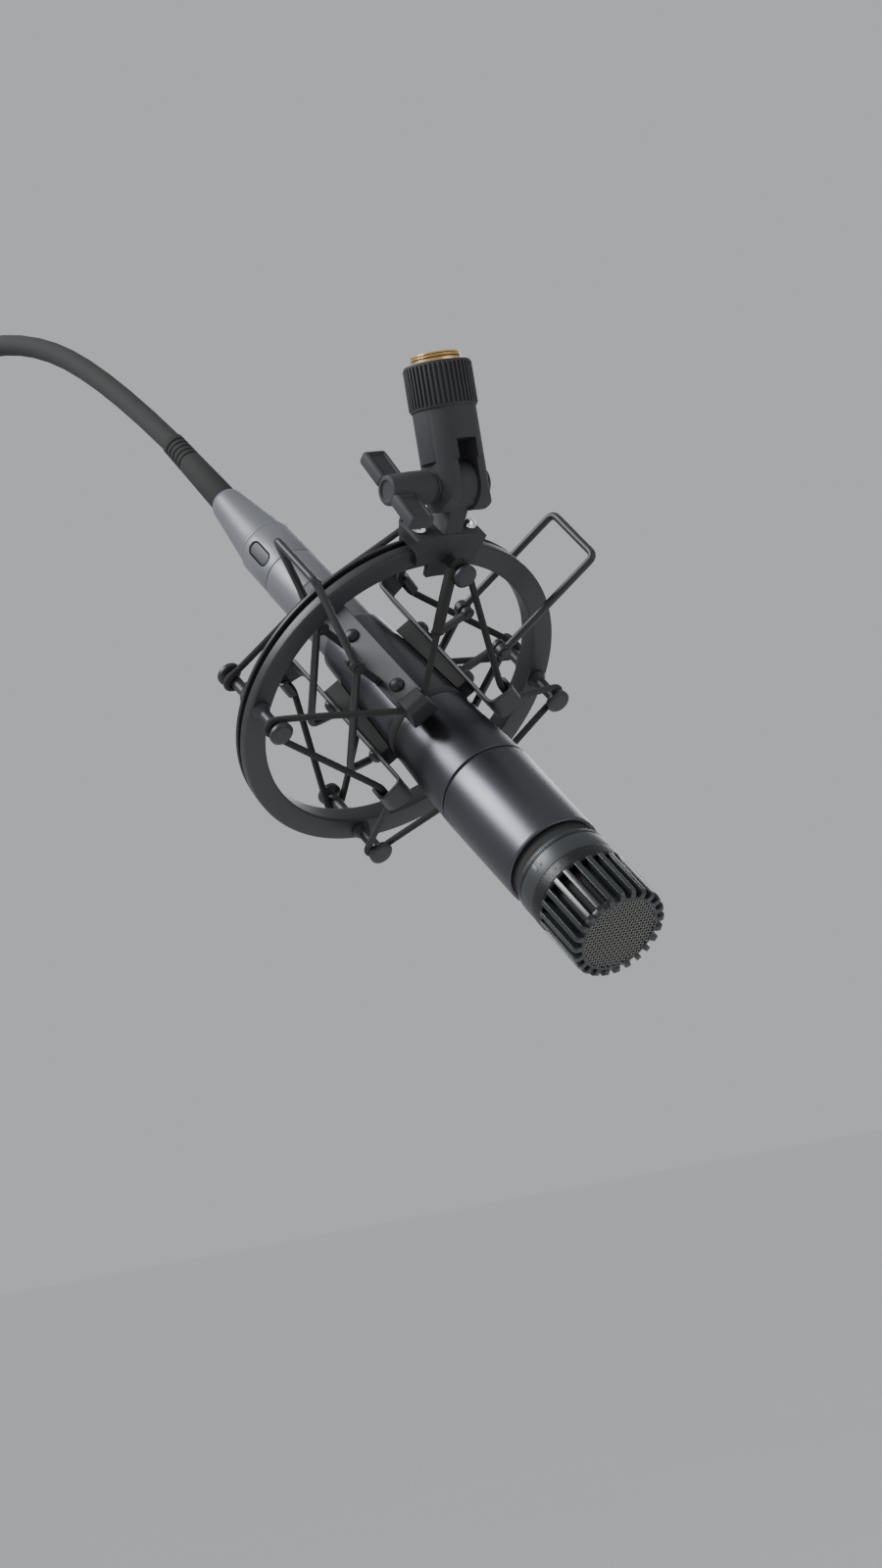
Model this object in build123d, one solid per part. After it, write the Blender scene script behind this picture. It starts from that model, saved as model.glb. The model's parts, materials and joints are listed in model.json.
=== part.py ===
"""Dynamic microphone in a spider shock mount, with its cable. Millimetres.

The row's origin is the mouth of the stem's thread and +Z is the stem's axis. Everything that tilts is
drawn in the ring's own frame: x to the right, y towards the swivel, z along the microphone, forwards.
"""

import math
import os

from build123d import *

# ---- driving dimensions ---------------------------------------------------------------------------
# stem
PIVOT_Z = -40.5            # height of the swivel's axis
COLLAR_TOP = -3.0
COLLAR_R, COLLAR_LENGTH = 10.7, 14.3
STEM_R = 9.9
THREAD_R, THREAD_DEPTH = 4.8, 15.0      # 3/8 inch stand thread, modelled as a smooth bore
ADAPTER_R, ADAPTER_LENGTH = 7.95, 21.0  # 5/8 inch brass adapter
SLOT_HALF = 3.5            # half the width of the clevis slot
SLOT_TOP = -27.5
EAR_R, EAR_FACE = 8.2, 8.8  # ears: their rounded end, and half the width across them
WASHER_R, WASHER_T = 4.9, 0.8
BOLT_R = 2.95
BOLT_HOLE_R = 3.0
HUB_END, BLADE_REACH = 25.8, 16.5       # the wing screw's end, and its blades' reach from its axis
# ring, in its own frame
PITCH = math.radians(42.5)  # how far the microphone points below the horizontal
REACH = 75.0               # from the swivel's axis to the centre of the ring
RING_R, RING_BORE_R, RING_HALF = 55.7, 48.3, 3.5
GROOVE_DEPTH, GROOVE_BACK, GROOVE_FRONT = 2.6, -2.2, 0.0
POST_RING_R, POST_R, POST_END = 52.2, 1.9, 17.6
POST_HEAD_R, POST_HEAD = 3.9, 1.8
SADDLE_ANGLES = (-8.6, 8.6)
SADDLE_R, CHEEK_Z = 60.4, 5.4           # the saddle's top, and its cheeks' reach each side of the ring
SCREW_R, SCREW_HOLE_R = 1.5, 1.55
# clip plates
PLATE_ANGLES = {"upper_left": -45, "upper_right": 45, "lower_left": -135, "lower_right": 135}
PLATE_R, PLATE_T, PLATE_W, PLATE_HALF = 17.6, 1.2, 9.5, 35.0
TAB_R, TAB_BACK, TAB_LIP = 27.0, 7.0, 2.6
RIVETS_Z = (16.0, -11.6)
PAD_W, PAD_FRONT, PAD_BACK = 6.6, 19.7, -15.3
# elastic
ELASTIC_R, ELASTIC_SLEEVE_R = 1.1, 2.2
POST_LOOP_Z = POST_END - POST_HEAD - 3.2
HOOK_R, HOOK_Z = 21.4, PLATE_HALF - 7.4
# squeeze handles
WIRE_R = 1.25
LEG_Z = 12.3               # the two legs of a handle run this far each side of the ring
HINGE_X, HINGE_Y = 27.5, 19.0
HANDLE_ROUTE = ((11.6, -17.4), (18.6, -20.4), (HINGE_X, HINGE_Y), (52.0, 52.3))
HANDLE_BENDS = (2.0, 3.0, 2.6, 2.6, 3.0, 2.0)
EYE_R, EYE_BORE_R, HINGE_PIN_R = 2.5, 1.25, 1.2
LUG_Z, LUG_T = 9.4, 1.6    # lugs on the upper plates' edges carry the handles' pins
# microphone: distances back from its front face
FRONT_Z = 131.4            # front face in the ring's frame
CAGE_END, BAND_START, BAND_END, KNURL_END, HEAD_END = 19.3, 24.3, 30.5, 32.6, 37.0
SEAM, MIC_LENGTH = 76.0, 157.0
MIC_R, TAIL_R = 16.0, 11.5
RIBS, RIB_W = 24, 1.75
WALL = 1.7
RUBBER_START, RUBBER_END = 108.0, 111.4
# cable plug and cable
PLUG_R, NOSE_R, NOSE_LENGTH = 9.9, 7.9, 12.0
PLUG_END, TAPER_END, SLEEVE_END = 56.0, 84.0, 120.0
CABLE_D = 7.2
COIL_R, COIL_TURN_CENTRE = 12.2, 40.5
LATCH_ANGLE, LATCH_BACK = 292, 48.0     # round the plug, and behind the end of the microphone
PIN_R, PIN_HOLE_R = 1.2, 1.22
PIN_PLACES = tuple((3.6 * math.sin(math.radians(a)), 3.6 * math.cos(math.radians(a))) for a in (45, 180, 315))
GAP = 0.3                  # between bodies that move past each other


# ---- frames ---------------------------------------------------------------------------------------
FORWARD = (0, -math.cos(PITCH), -math.sin(PITCH))
CENTRE = (0, REACH * math.sin(PITCH), PIVOT_Z - REACH * math.cos(PITCH))
RING = Plane(origin=CENTRE, x_dir=(1, 0, 0), z_dir=FORWARD)


def placed(shape):
    """A shape drawn in the ring's frame, moved to its place in the row."""
    return shape.moved(RING.location)


def row_point(x, y, z):
    """A point of the ring's frame in row coordinates."""
    return RING.from_local_coords(Vector(x, y, z))


def back(distance):
    """The z in the ring's frame of a place this far behind the microphone's front face."""
    return FRONT_Z - distance


def tube(outer, inner, low, high):
    """A ring about z between two heights; inner may be 0."""
    body = Cylinder(outer, high - low, align=(Align.CENTER, Align.CENTER, Align.MIN))
    if inner > 0:
        body -= Cylinder(inner, high - low, align=(Align.CENTER, Align.CENTER, Align.MIN))
    return Pos(0, 0, low) * body


def turned(points):
    """A solid of revolution about z from (radius, z) corners."""
    outline = Plane.XZ * make_face(Polyline(*points, close=True))
    return revolve(outline, Axis.Z, 360)


def polar(radius, degrees, z=0.0):
    """A place at an angle from the stem's side of the ring, turning to the right."""
    angle = math.radians(degrees)
    return Pos(radius * math.sin(angle), radius * math.cos(angle), z) * Rot(0, 0, -degrees)


def box(width, height, depth, x=0.0, y=0.0, z=0.0):
    """A box centred on a point."""
    return Pos(x, y, z) * Box(width, height, depth)


def ring_sector(outer, inner, low, high, half_angle):
    """A piece of a ring about the stem's side, between two heights."""
    wedge_length = 2 * outer
    side = wedge_length * math.tan(math.radians(half_angle))
    wedge = make_face(Polyline((0, 0), (side, wedge_length), (-side, wedge_length), close=True))
    return tube(outer, inner, low, high) & Pos(0, 0, low) * extrude(wedge, high - low)


def handle_radius(distance):
    """The tapered rear handle's radius at a distance behind the front face."""
    return MIC_R + (TAIL_R - MIC_R) * (distance - SEAM) / (MIC_LENGTH - SEAM)


parts = {}


def keep(name, *shapes):
    """Collects the finished solids of a node."""
    parts[name] = [solid for shape in shapes for solid in shape.solids()]


# ---- stem -----------------------------------------------------------------------------------------
def thread_adapter():
    body = tube(ADAPTER_R, 0, -ADAPTER_LENGTH, 0) - tube(THREAD_R, 0, -THREAD_DEPTH, 0)
    rim = body.edges().filter_by(GeomType.CIRCLE).group_by(Axis.Z)[-1].sort_by(SortBy.RADIUS)[-1]
    return chamfer(rim, 0.5)


def stem_body():
    body = tube(STEM_R, 0, SLOT_TOP - 6, COLLAR_TOP)
    ear = Circle(EAR_R) + Pos(0, 6.5) * Rectangle(2 * EAR_R, 13)
    ears = Pos(0, 0, PIVOT_Z) * extrude(Plane.YZ.offset(-EAR_FACE) * ear, 2 * EAR_FACE)
    body += ears & tube(STEM_R, 0, PIVOT_Z - EAR_R, SLOT_TOP)
    body -= tube(ADAPTER_R + 0.02, 0, -ADAPTER_LENGTH, COLLAR_TOP)
    body -= box(2 * SLOT_HALF, 40, 30, z=SLOT_TOP - 15)
    body -= Pos(0, 0, PIVOT_Z) * Rot(0, 90, 0) * Cylinder(BOLT_HOLE_R, 40)
    return body


def knurled_collar():
    body = tube(COLLAR_R, STEM_R + 0.02, COLLAR_TOP - COLLAR_LENGTH, COLLAR_TOP)
    return chamfer(body.edges().filter_by(GeomType.CIRCLE).sort_by(SortBy.RADIUS)[-2:], 0.5)


def along_pivot(shape):
    """A shape drawn about z, laid along the swivel's axis."""
    return Pos(0, 0, PIVOT_Z) * Rot(0, 90, 0) * shape


def pivot_bolt():
    seat = EAR_FACE + WASHER_T
    head = turned([(0, seat), (4.2, seat), (4.2, seat + 0.4), (3.4, seat + 1.0), (0, seat + 1.0)])
    return along_pivot(tube(BOLT_R, 0, -HUB_END + 6, seat) + head)


def pivot_washers():
    washer = tube(WASHER_R, BOLT_HOLE_R, 0, WASHER_T)
    return along_pivot(Pos(0, 0, EAR_FACE) * washer), along_pivot(Pos(0, 0, -EAR_FACE - WASHER_T) * washer)


def wing_screw():
    start = -EAR_FACE - WASHER_T - 0.1
    hub = tube(5.3, 0, -HUB_END, start)
    hub = chamfer(hub.edges().filter_by(GeomType.CIRCLE).group_by(Axis.Z)[0], 0.8)
    blades = box(2 * BLADE_REACH, 4.6, 8.5, z=-HUB_END + 3.8)
    blades = fillet(blades.edges().filter_by(Axis.Y), 2.0)
    blades = fillet(blades.edges().filter_by(Axis.Z), 1.2)
    screw = Rot(0, 0, -40) * (hub + blades) - tube(BOLT_HOLE_R, 0, -HUB_END + 5.5, start + 1)
    return along_pivot(screw)


# ---- yoke: tongue, ring and posts -----------------------------------------------------------------
def swivel_tongue():
    half = SLOT_HALF - GAP
    barrel = Pos(0, REACH, 0) * Rot(0, 90, 0) * Cylinder(7.2, 2 * half)
    web = box(2 * half, REACH - 59, 10, y=(REACH + 59) / 2)
    saddle = ring_sector(SADDLE_R, RING_R + 0.05, -CHEEK_Z, CHEEK_Z, 12.5)
    cheek = ring_sector(SADDLE_R, 45.5, RING_HALF + 0.05, CHEEK_Z, 7.0)
    cheek += ring_sector(SADDLE_R, 50.5, RING_HALF + 0.05, CHEEK_Z, 12.0)
    body = barrel + web + saddle + cheek + mirror(cheek, Plane.XY)
    body -= Pos(0, REACH, 0) * Rot(0, 90, 0) * Cylinder(BOLT_HOLE_R, 20)
    for angle in SADDLE_ANGLES:
        body -= polar(58, angle) * Rot(90, 0, 0) * Cylinder(SCREW_HOLE_R, 8)
    return body


def saddle_screws():
    head = turned([(0, 0), (2.6, 0), (2.6, 0.7), (1.9, 1.7), (0.8, 2.2), (0, 2.2)])
    shank = tube(SCREW_R, 0, -7.5, 0)
    return [polar(SADDLE_R + 0.05, angle) * Rot(-90, 0, 0) * (head + shank) for angle in SADDLE_ANGLES]


def shock_ring():
    groove_r = RING_R - GROOVE_DEPTH
    body = turned([(RING_BORE_R, -RING_HALF), (RING_R - 0.3, -RING_HALF), (RING_R - 0.3, GROOVE_BACK),
                   (groove_r, GROOVE_BACK), (groove_r, GROOVE_FRONT), (RING_R, GROOVE_FRONT),
                   (RING_R, RING_HALF), (RING_BORE_R, RING_HALF)])
    rims = body.edges().filter_by(GeomType.CIRCLE)
    body = fillet(rims.filter_by(lambda e: abs(abs(e.center().Z) - RING_HALF) < 0.01), 0.5)
    for angle in SADDLE_ANGLES:
        body -= polar(RING_R, angle) * Rot(90, 0, 0) * Cylinder(SCREW_HOLE_R, 8)
    return body


def post(root):
    """A hooked peg on the ring's front face, its foot at height root."""
    neck = POST_END - POST_HEAD
    return turned([(0, root), (POST_R + 1.2, root), (POST_R, root + 2.5), (POST_R, neck - 0.8), (POST_HEAD_R, neck),
                   (POST_HEAD_R, POST_END - 0.5), (POST_HEAD_R - 0.5, POST_END), (0, POST_END)])


def ring_posts():
    pegs = []
    for angle in (0, 90, 180, 270):
        root = (CHEEK_Z if angle == 0 else RING_HALF) + 0.05
        peg = polar(POST_RING_R, angle) * post(root)
        pegs += [peg, mirror(peg, Plane.XY)]
    return pegs


# ---- clip plates ----------------------------------------------------------------------------------
def clip_plate():
    """One plate with hooked ends, standing on the stem's side of the microphone."""
    outer = PLATE_R + PLATE_T
    body = box(PLATE_W, PLATE_T, 2 * PLATE_HALF, y=PLATE_R + PLATE_T / 2)
    for side in (-1, 1):
        end = side * (PLATE_HALF - PLATE_T / 2)
        body += box(PLATE_W, TAB_R - PLATE_R, PLATE_T, y=(TAB_R + PLATE_R) / 2, z=end)
        tab_middle = side * (PLATE_HALF - TAB_BACK / 2)
        body += box(PLATE_W - 2, PLATE_T, TAB_BACK, y=TAB_R - PLATE_T / 2, z=tab_middle)
        lip = side * (PLATE_HALF - TAB_BACK + PLATE_T / 2)
        body += box(PLATE_W - 2, TAB_LIP, PLATE_T, y=TAB_R - TAB_LIP / 2, z=lip)
    body = fillet(body.edges().filter_by(Axis.X).group_by(SortBy.LENGTH)[-1], 0.4)
    for z in RIVETS_Z:
        body -= Pos(0, outer, z) * Rot(90, 0, 0) * Cylinder(1.3, 6)
    return body


def clip_pad():
    """The soft block between a plate and the tapered handle."""
    block = box(PAD_W, 7.0, PAD_FRONT - PAD_BACK, y=PLATE_R - 3.5 - 0.02, z=(PAD_FRONT + PAD_BACK) / 2)
    far, near = FRONT_Z - PAD_BACK + 3, FRONT_Z - PAD_FRONT - 3
    core = turned([(0, back(far)), (handle_radius(far) + GAP, back(far)),
                   (handle_radius(near) + GAP, back(near)), (0, back(near))])
    block -= core
    for z in RIVETS_Z:
        block -= Pos(0, PLATE_R - 0.5, z) * Rot(90, 0, 0) * Cylinder(2.6, 2.6)
    return block


def plate_rivets():
    """Dome rivets through a plate."""
    dome = turned([(0, -1.0), (1.9, -1.0), (1.9, -0.05), (1.25, -0.05), (1.25, 1.25), (2.4, 1.25), (2.2, 2.2),
                   (1.3, 2.9), (0, 3.1)])
    return [Pos(0, PLATE_R, z) * Rot(-90, 0, 0) * dome for z in RIVETS_Z]


def at_angle(shape, degrees):
    """A shape drawn on the stem's side, turned about the microphone."""
    return Rot(0, 0, -degrees) * shape


def hinge_lug(side, face):
    """A lug that stands on the edge of an upper plate and carries the pin of one handle leg."""
    z = face * LUG_Z
    base = Pos(side * (PLATE_W / 2 - 1.1), PLATE_R + PLATE_T + 0.55, z)
    foot = (Rot(0, 0, -45 * side) * base).position
    arm = Vector(side * HINGE_X - foot.X, HINGE_Y - foot.Y, 0)
    angle = math.degrees(math.atan2(arm.Y, arm.X))
    middle = Pos(foot.X + arm.X / 2, foot.Y + arm.Y / 2, z)
    lug = middle * Rot(0, 0, angle) * Box(arm.length, 2.2, LUG_T)
    lug += Pos(side * HINGE_X, HINGE_Y, z) * Cylinder(2.2, LUG_T)
    lug += at_angle(base * Box(2.2, 1.0, 3.0), 45 * side)
    return lug - Pos(side * HINGE_X, HINGE_Y, z) * Cylinder(HINGE_PIN_R + 0.01, 4)


def hinge_pin(side, face):
    """A short pin through a lug and the eye beside it."""
    low, high = LUG_Z - LUG_T / 2 - 0.3, LEG_Z + 1.5 + 0.5
    return Pos(side * HINGE_X, HINGE_Y, face * (low + high) / 2) * Cylinder(HINGE_PIN_R, high - low)


# ---- squeeze handles ------------------------------------------------------------------------------
def handle_wire(side):
    """A wire bail: two legs beside the ring joined at their outer end, with an eye on each leg."""
    leg = [(side * x, y) for x, y in HANDLE_ROUTE]
    near = [(x, y, LEG_Z) for x, y in leg]
    far = [(x, y, -LEG_Z) for x, y in reversed(leg)]
    route = FilletPolyline(*near, *far, radius=list(HANDLE_BENDS))
    wire = sweep(Plane(origin=route @ 0, z_dir=route % 0) * Circle(WIRE_R), path=route)
    for z in (LEG_Z, -LEG_Z):
        hinge = Pos(side * HINGE_X, HINGE_Y, z)
        wire += hinge * Cylinder(EYE_R, 3.0)
        wire -= hinge * Cylinder(EYE_BORE_R, 6.0)
    return wire


# ---- elastic --------------------------------------------------------------------------------------
def strand_ends(post_angle, plate_angle, side):
    """Where one elastic strand starts beside its post and ends in a plate's hook."""
    start = polar(POST_RING_R, post_angle, side * POST_LOOP_Z).position
    end = polar(HOOK_R, plate_angle, side * HOOK_Z).position
    along = (end - start).normalized()
    return start + along * (POST_R + 2.3), end


def elastic(side):
    strands = []
    for post_angle in (0, 90, 180, 270):
        for turn in (-45, 45):
            start, end = strand_ends(post_angle, post_angle + turn, side)
            spine = Line(start, end)
            strands.append(sweep(Plane(origin=start, z_dir=spine % 0) * Circle(ELASTIC_R), path=spine))
    return strands


def elastic_sleeve():
    start, end = strand_ends(0, -45, 1)
    along = (end - start).normalized()
    spine = Line(start + along * 3.0, start + along * 24.0)
    outer = sweep(Plane(origin=spine @ 0, z_dir=along) * Circle(ELASTIC_SLEEVE_R), path=spine)
    return outer - sweep(Plane(origin=start, z_dir=along) * Circle(ELASTIC_R + 0.02), path=Line(start, end))


# ---- microphone head ------------------------------------------------------------------------------
def grille_cage():
    body = tube(MIC_R, 13.2, back(BAND_START), back(CAGE_END))
    body += tube(13.9, 12.0, back(2.6), back(1.05))
    rib = box(RIB_W, 2.4, CAGE_END + 0.5, y=14.7, z=back((CAGE_END + 0.5) / 2))
    body += [at_angle(rib, 360 / RIBS * k) for k in range(RIBS)]
    return body & tube(MIC_R, 0, back(BAND_START), back(0))


def grille_mesh():
    return tube(13.3, 0, back(1.0), back(0.4))


def grille_foam():
    return turned([(12.3, back(2.7)), (13.1, back(2.7)), (13.1, back(19)), (11.6, back(19)), (11.6, back(3.9)),
                   (0, back(3.9)), (0, back(2.7))])


def label_band():
    body = tube(MIC_R - 0.15, 13.2, back(BAND_END), back(BAND_START) - 0.02)
    tick = box(0.9, 0.5, 2.6, y=MIC_R - 0.15, z=back(BAND_END) + 1.9)
    return body + at_angle(tick, 292) + at_angle(tick, 300)


def knurled_ring():
    return tube(MIC_R - 0.3, 13.2, back(KNURL_END), back(BAND_END) - 0.02)


def cartridge_collar():
    return turned([(12.6, back(HEAD_END)), (14.6, back(HEAD_END)), (14.6, back(KNURL_END) - GAP),
                   (12.9, back(KNURL_END) - GAP), (12.9, back(20.0)), (12.6, back(20.0))])


def cartridge_shell():
    return tube(12.55, 11.5, back(44), back(20.2)) + tube(11.5, 0, back(44), back(42.5))


def diaphragm():
    return turned([(0, back(20.5)), (4.5, back(21.4)), (11.4, back(21.2)), (11.4, back(21.5)),
                   (4.5, back(21.7)), (0, back(20.8))])


def voice_coil():
    return tube(5.3, 4.9, back(27), back(21.75))


def pole_piece():
    body = tube(11.4, 0, back(42.3), back(40.2)) + tube(4.6, 0, back(40.2), back(23.4))
    body += tube(11.4, 9.6, back(40.2), back(25.6))
    return body + tube(9.8, 5.6, back(25.6), back(23.6)) + tube(11.4, 9.6, back(25.7), back(23.6))


def magnet():
    return tube(9.3, 5.6, back(39.9), back(26.0))


def cartridge_isolator():
    return tube(13.6, 12.6, back(43), back(37.2)) + tube(13.6, 6.0, back(48), back(44.2))


# ---- microphone housing ---------------------------------------------------------------------------
def front_housing():
    body = tube(MIC_R, MIC_R - WALL, back(SEAM - 0.4), back(HEAD_END))
    body += tube(MIC_R - 0.5, 13.7, back(46), back(HEAD_END))
    return chamfer(body.edges().filter_by(GeomType.CIRCLE).sort_by(SortBy.RADIUS)[-1], 0.4)


def seam_o_ring():
    return tube(MIC_R - 0.45, MIC_R - WALL, back(SEAM + 0.4), back(SEAM - 0.4))


def rear_handle():
    start, end = SEAM + 0.4, MIC_LENGTH
    outer = turned([(0, back(end)), (handle_radius(end) - 0.4, back(end)), (handle_radius(end), back(end) + 0.8),
                    (handle_radius(start), back(start)), (0, back(start))])
    inner = turned([(0, back(139)), (handle_radius(139) - WALL - 0.6, back(139)),
                    (handle_radius(start) - WALL - 0.9, back(start)), (0, back(start))])
    body = outer - inner - tube(8.05, 0, back(end), back(137))
    groove = tube(20, handle_radius(RUBBER_END) - 0.5, back(RUBBER_END), back(RUBBER_START))
    body -= groove
    spigot = tube(MIC_R - WALL - 0.05, MIC_R - WALL - 1.6, back(start + 1), back(SEAM - 6))
    lock = Pos(0, -handle_radius(148), back(148)) * Rot(90, 0, 0) * Cylinder(1.35, 8)
    return body + spigot - lock


def handle_band():
    inner = handle_radius(RUBBER_END) - 0.48
    outer = handle_radius(RUBBER_START) + 0.12
    return tube(outer, inner, back(RUBBER_END) + 0.02, back(RUBBER_START) - 0.02)


def transformer():
    core = box(15, 15, 18, z=back(96))
    winding = tube(6.2, 0, back(109), back(105.1)) + tube(6.2, 0, back(86.9), back(83))
    return core + winding


def xlr_insert():
    body = tube(7.95, 0, back(144.8), back(140))
    for x, y in PIN_PLACES:
        body -= Pos(x, y, 0) * tube(PIN_HOLE_R, 0, back(144.8), back(140))
    return body - Pos(0, -8, back(142.4)) * Rot(90, 0, 0) * Cylinder(1.0, 3)


def xlr_pins():
    return [Pos(x, y, 0) * tube(PIN_R, 0, back(154), back(138)) for x, y in PIN_PLACES]


def insert_screw():
    place = Pos(0, -handle_radius(148), back(148)) * Rot(90, 0, 0)
    return place * Pos(0, 0, -1.0) * Cylinder(1.3, 2.0)


# ---- plug on the microphone -----------------------------------------------------------------------
def plug_shell():
    end, nose = MIC_LENGTH + PLUG_END, MIC_LENGTH - NOSE_LENGTH + 0.2
    outer = turned([(0, back(end)), (PLUG_R - 0.5, back(end)), (PLUG_R - 0.2, back(end) + 0.5),
                    (PLUG_R - 0.2, back(end) + 16), (PLUG_R - 0.45, back(end) + 16.2),
                    (PLUG_R - 0.45, back(end) + 16.7), (PLUG_R, back(end) + 17),
                    (PLUG_R, back(MIC_LENGTH) - 1.2), (PLUG_R - 0.6, back(MIC_LENGTH) - 0.3),
                    (NOSE_R, back(MIC_LENGTH) - 0.3), (NOSE_R, back(nose)), (0, back(nose))])
    body = outer - tube(6.9, 0, back(end), back(nose))
    window = box(5.2, 8, 11, y=PLUG_R, z=back(MIC_LENGTH + LATCH_BACK))
    return body - at_angle(fillet(window.edges().filter_by(Axis.Y), 2.4), LATCH_ANGLE)


def plug_latch():
    """The sprung release button in the plug's window."""
    button = box(4.6, 1.9, 10.4, y=PLUG_R - 1.35, z=back(MIC_LENGTH + LATCH_BACK))
    button = fillet(button.edges().filter_by(Axis.Y), 2.2)
    button = chamfer(button.faces().sort_by(Axis.Y)[-1].edges(), 0.35)
    return at_angle(button, LATCH_ANGLE)


def plug_contacts():
    start, end = MIC_LENGTH - NOSE_LENGTH + 0.4, MIC_LENGTH + 20
    body = tube(6.85, 0, back(end), back(start))
    for x, y in PIN_PLACES:
        body -= Pos(x, y, 0) * tube(1.28, 0, back(start + 11), back(start))
    return body


def plug_bushing():
    start, end = MIC_LENGTH + PLUG_END, MIC_LENGTH + TAPER_END
    outer = turned([(0, back(end)), (5.0, back(end)), (5.6, back(end) + 0.6), (PLUG_R - 1.2, back(start) - 2),
                    (PLUG_R - 0.5, back(start) - 0.02), (6.8, back(start) - 0.02), (6.8, back(start) + 2),
                    (0, back(start) + 2)])
    return outer - tube(4.3, 0, back(end), back(start) + 2)


def strain_relief():
    start, end = MIC_LENGTH + TAPER_END, MIC_LENGTH + SLEEVE_END
    outer = turned([(0, back(end)), (3.95, back(end)), (4.1, back(end) + 0.5), (4.7, back(start)),
                    (4.25, back(start)), (4.25, back(start) + 8), (0, back(start) + 8)])
    return outer - tube(CABLE_D / 2 + 0.02, 0, back(end), back(start) + 8)


# ---- cable ----------------------------------------------------------------------------------------
# The route starts where the cable leaves its sleeve, arches over and hangs down to the stored coil.
EXIT = row_point(0, 0, back(MIC_LENGTH + SLEEVE_END))
COIL_CENTRE = (-62.0, 282.0, -80.0)
COIL_ENTRY = (COIL_CENTRE[0], COIL_CENTRE[1] + 9.5, COIL_CENTRE[2] + 51.8)
ROUTE = (
    (EXIT.X, EXIT.Y, EXIT.Z),
    (-3.0, 188.0, 30.5),
    (-11.0, 222.0, 52.0),
    (-25.0, 255.0, 54.0),
    (-42.0, 277.0, 36.0),
    (-53.5, 284.5, 14.0),
    (-60.0, 285.0, -7.0),
    COIL_ENTRY,
)


def bend_radii(points):
    """For each corner, 0.45 of its shorter run over the tangent of half its turn."""
    radii = []
    for before, corner, after in zip(points, points[1:], points[2:]):
        first, second = Vector(*corner) - Vector(*before), Vector(*after) - Vector(*corner)
        half_turn = math.radians(first.get_angle(second)) / 2
        radii.append(0.45 * min(first.length, second.length) / math.tan(half_turn))
    return radii


def cord_run():
    radii = bend_radii(ROUTE)
    path = FilletPolyline(*ROUTE, radius=radii)
    body = sweep(Plane(origin=path @ 0, z_dir=path % 0) * Circle(CABLE_D / 2), path=path)
    section = math.pi * CABLE_D ** 2 / 4
    print("bend radii", [round(r, 1) for r in radii])
    print("cord run", round(path.length, 1), "volume over section", round(body.volume / section, 1))
    return body


COIL_PLANE = Plane(origin=COIL_CENTRE, x_dir=(0, 1, 0), z_dir=(1, 0, 0))


def in_coil(shape):
    """A shape drawn about the coil's axis, moved to its place in the row."""
    return shape.moved(COIL_PLANE.location)


def cord_coil():
    """The outer shape of the stored turns, upright, with its axis along X."""
    return in_coil(tube(COIL_TURN_CENTRE + COIL_R, COIL_TURN_CENTRE - COIL_R, -COIL_R, COIL_R))


def cord_tie():
    """A strap round the turns at the bottom of the coil."""
    inner, outer = COIL_R + 0.35, COIL_R + 1.7
    strap = box(2 * outer, 8, 2 * outer) - box(2 * inner, 10, 2 * inner)
    return in_coil(Rot(0, 0, 20) * Pos(COIL_TURN_CENTRE, 0, 0) * strap)


# The cable's other end hangs straight down from the side of the coil, with its plug.
TAIL_TOP = -28.0           # heights from the coil's centre
TAIL_BOTTOM = -66.0
TAIL_SIDE, TAIL_OUT = -6.0, 46.6
FAR_PLUG = (COIL_CENTRE[0] + TAIL_SIDE, COIL_CENTRE[1] + TAIL_OUT, COIL_CENTRE[2] + TAIL_BOTTOM)


def cord_tail():
    return Pos(*FAR_PLUG) * tube(CABLE_D / 2, 0, -20, TAIL_TOP - TAIL_BOTTOM)


def in_far_plug(shape):
    """A shape drawn nose down about the far plug's axis, with the cable's entry at height 0."""
    return Pos(*FAR_PLUG) * shape


def far_plug_shell():
    body = turned([(0, -62), (9.5, -62), (9.5, -21), (8.8, -20), (8.8, -19.02), (0, -19.02)])
    return in_far_plug(body - tube(8.0, 0, -62, -44) - tube(6.4, 0, -44, -19))


def far_plug_contacts():
    """The insert and the three pins pressed through it."""
    body = tube(7.95, 0, -48, -44.02)
    for x, y in PIN_PLACES:
        body -= Pos(x, y, 0) * tube(PIN_HOLE_R, 0, -48, -44.02)
    return [in_far_plug(body)] + [in_far_plug(Pos(x, y, 0) * tube(PIN_R, 0, -59, -43)) for x, y in PIN_PLACES]


def far_plug_bushing():
    outer = turned([(0, -24), (6.3, -24), (6.3, -19), (8.4, -19), (7.4, -13), (4.8, 0), (0, 0)])
    return in_far_plug(outer - tube(CABLE_D / 2 + 0.02, 0, -24, 0))


# ---- nodes ----------------------------------------------------------------------------------------
keep("thread_adapter", thread_adapter())
keep("stem_body", stem_body())
keep("knurled_collar", knurled_collar())
keep("pivot_bolt", pivot_bolt())
keep("pivot_washers", *pivot_washers())
keep("wing_screw", wing_screw())

keep("swivel_tongue", placed(swivel_tongue()))
keep("saddle_screws", *[placed(s) for s in saddle_screws()])
keep("shock_ring", placed(shock_ring()))
keep("ring_posts", *[placed(s) for s in ring_posts()])
keep("front_elastic", *[placed(s) for s in elastic(1)])
keep("rear_elastic", *[placed(s) for s in elastic(-1)])
keep("elastic_sleeve", placed(elastic_sleeve()))

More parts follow.
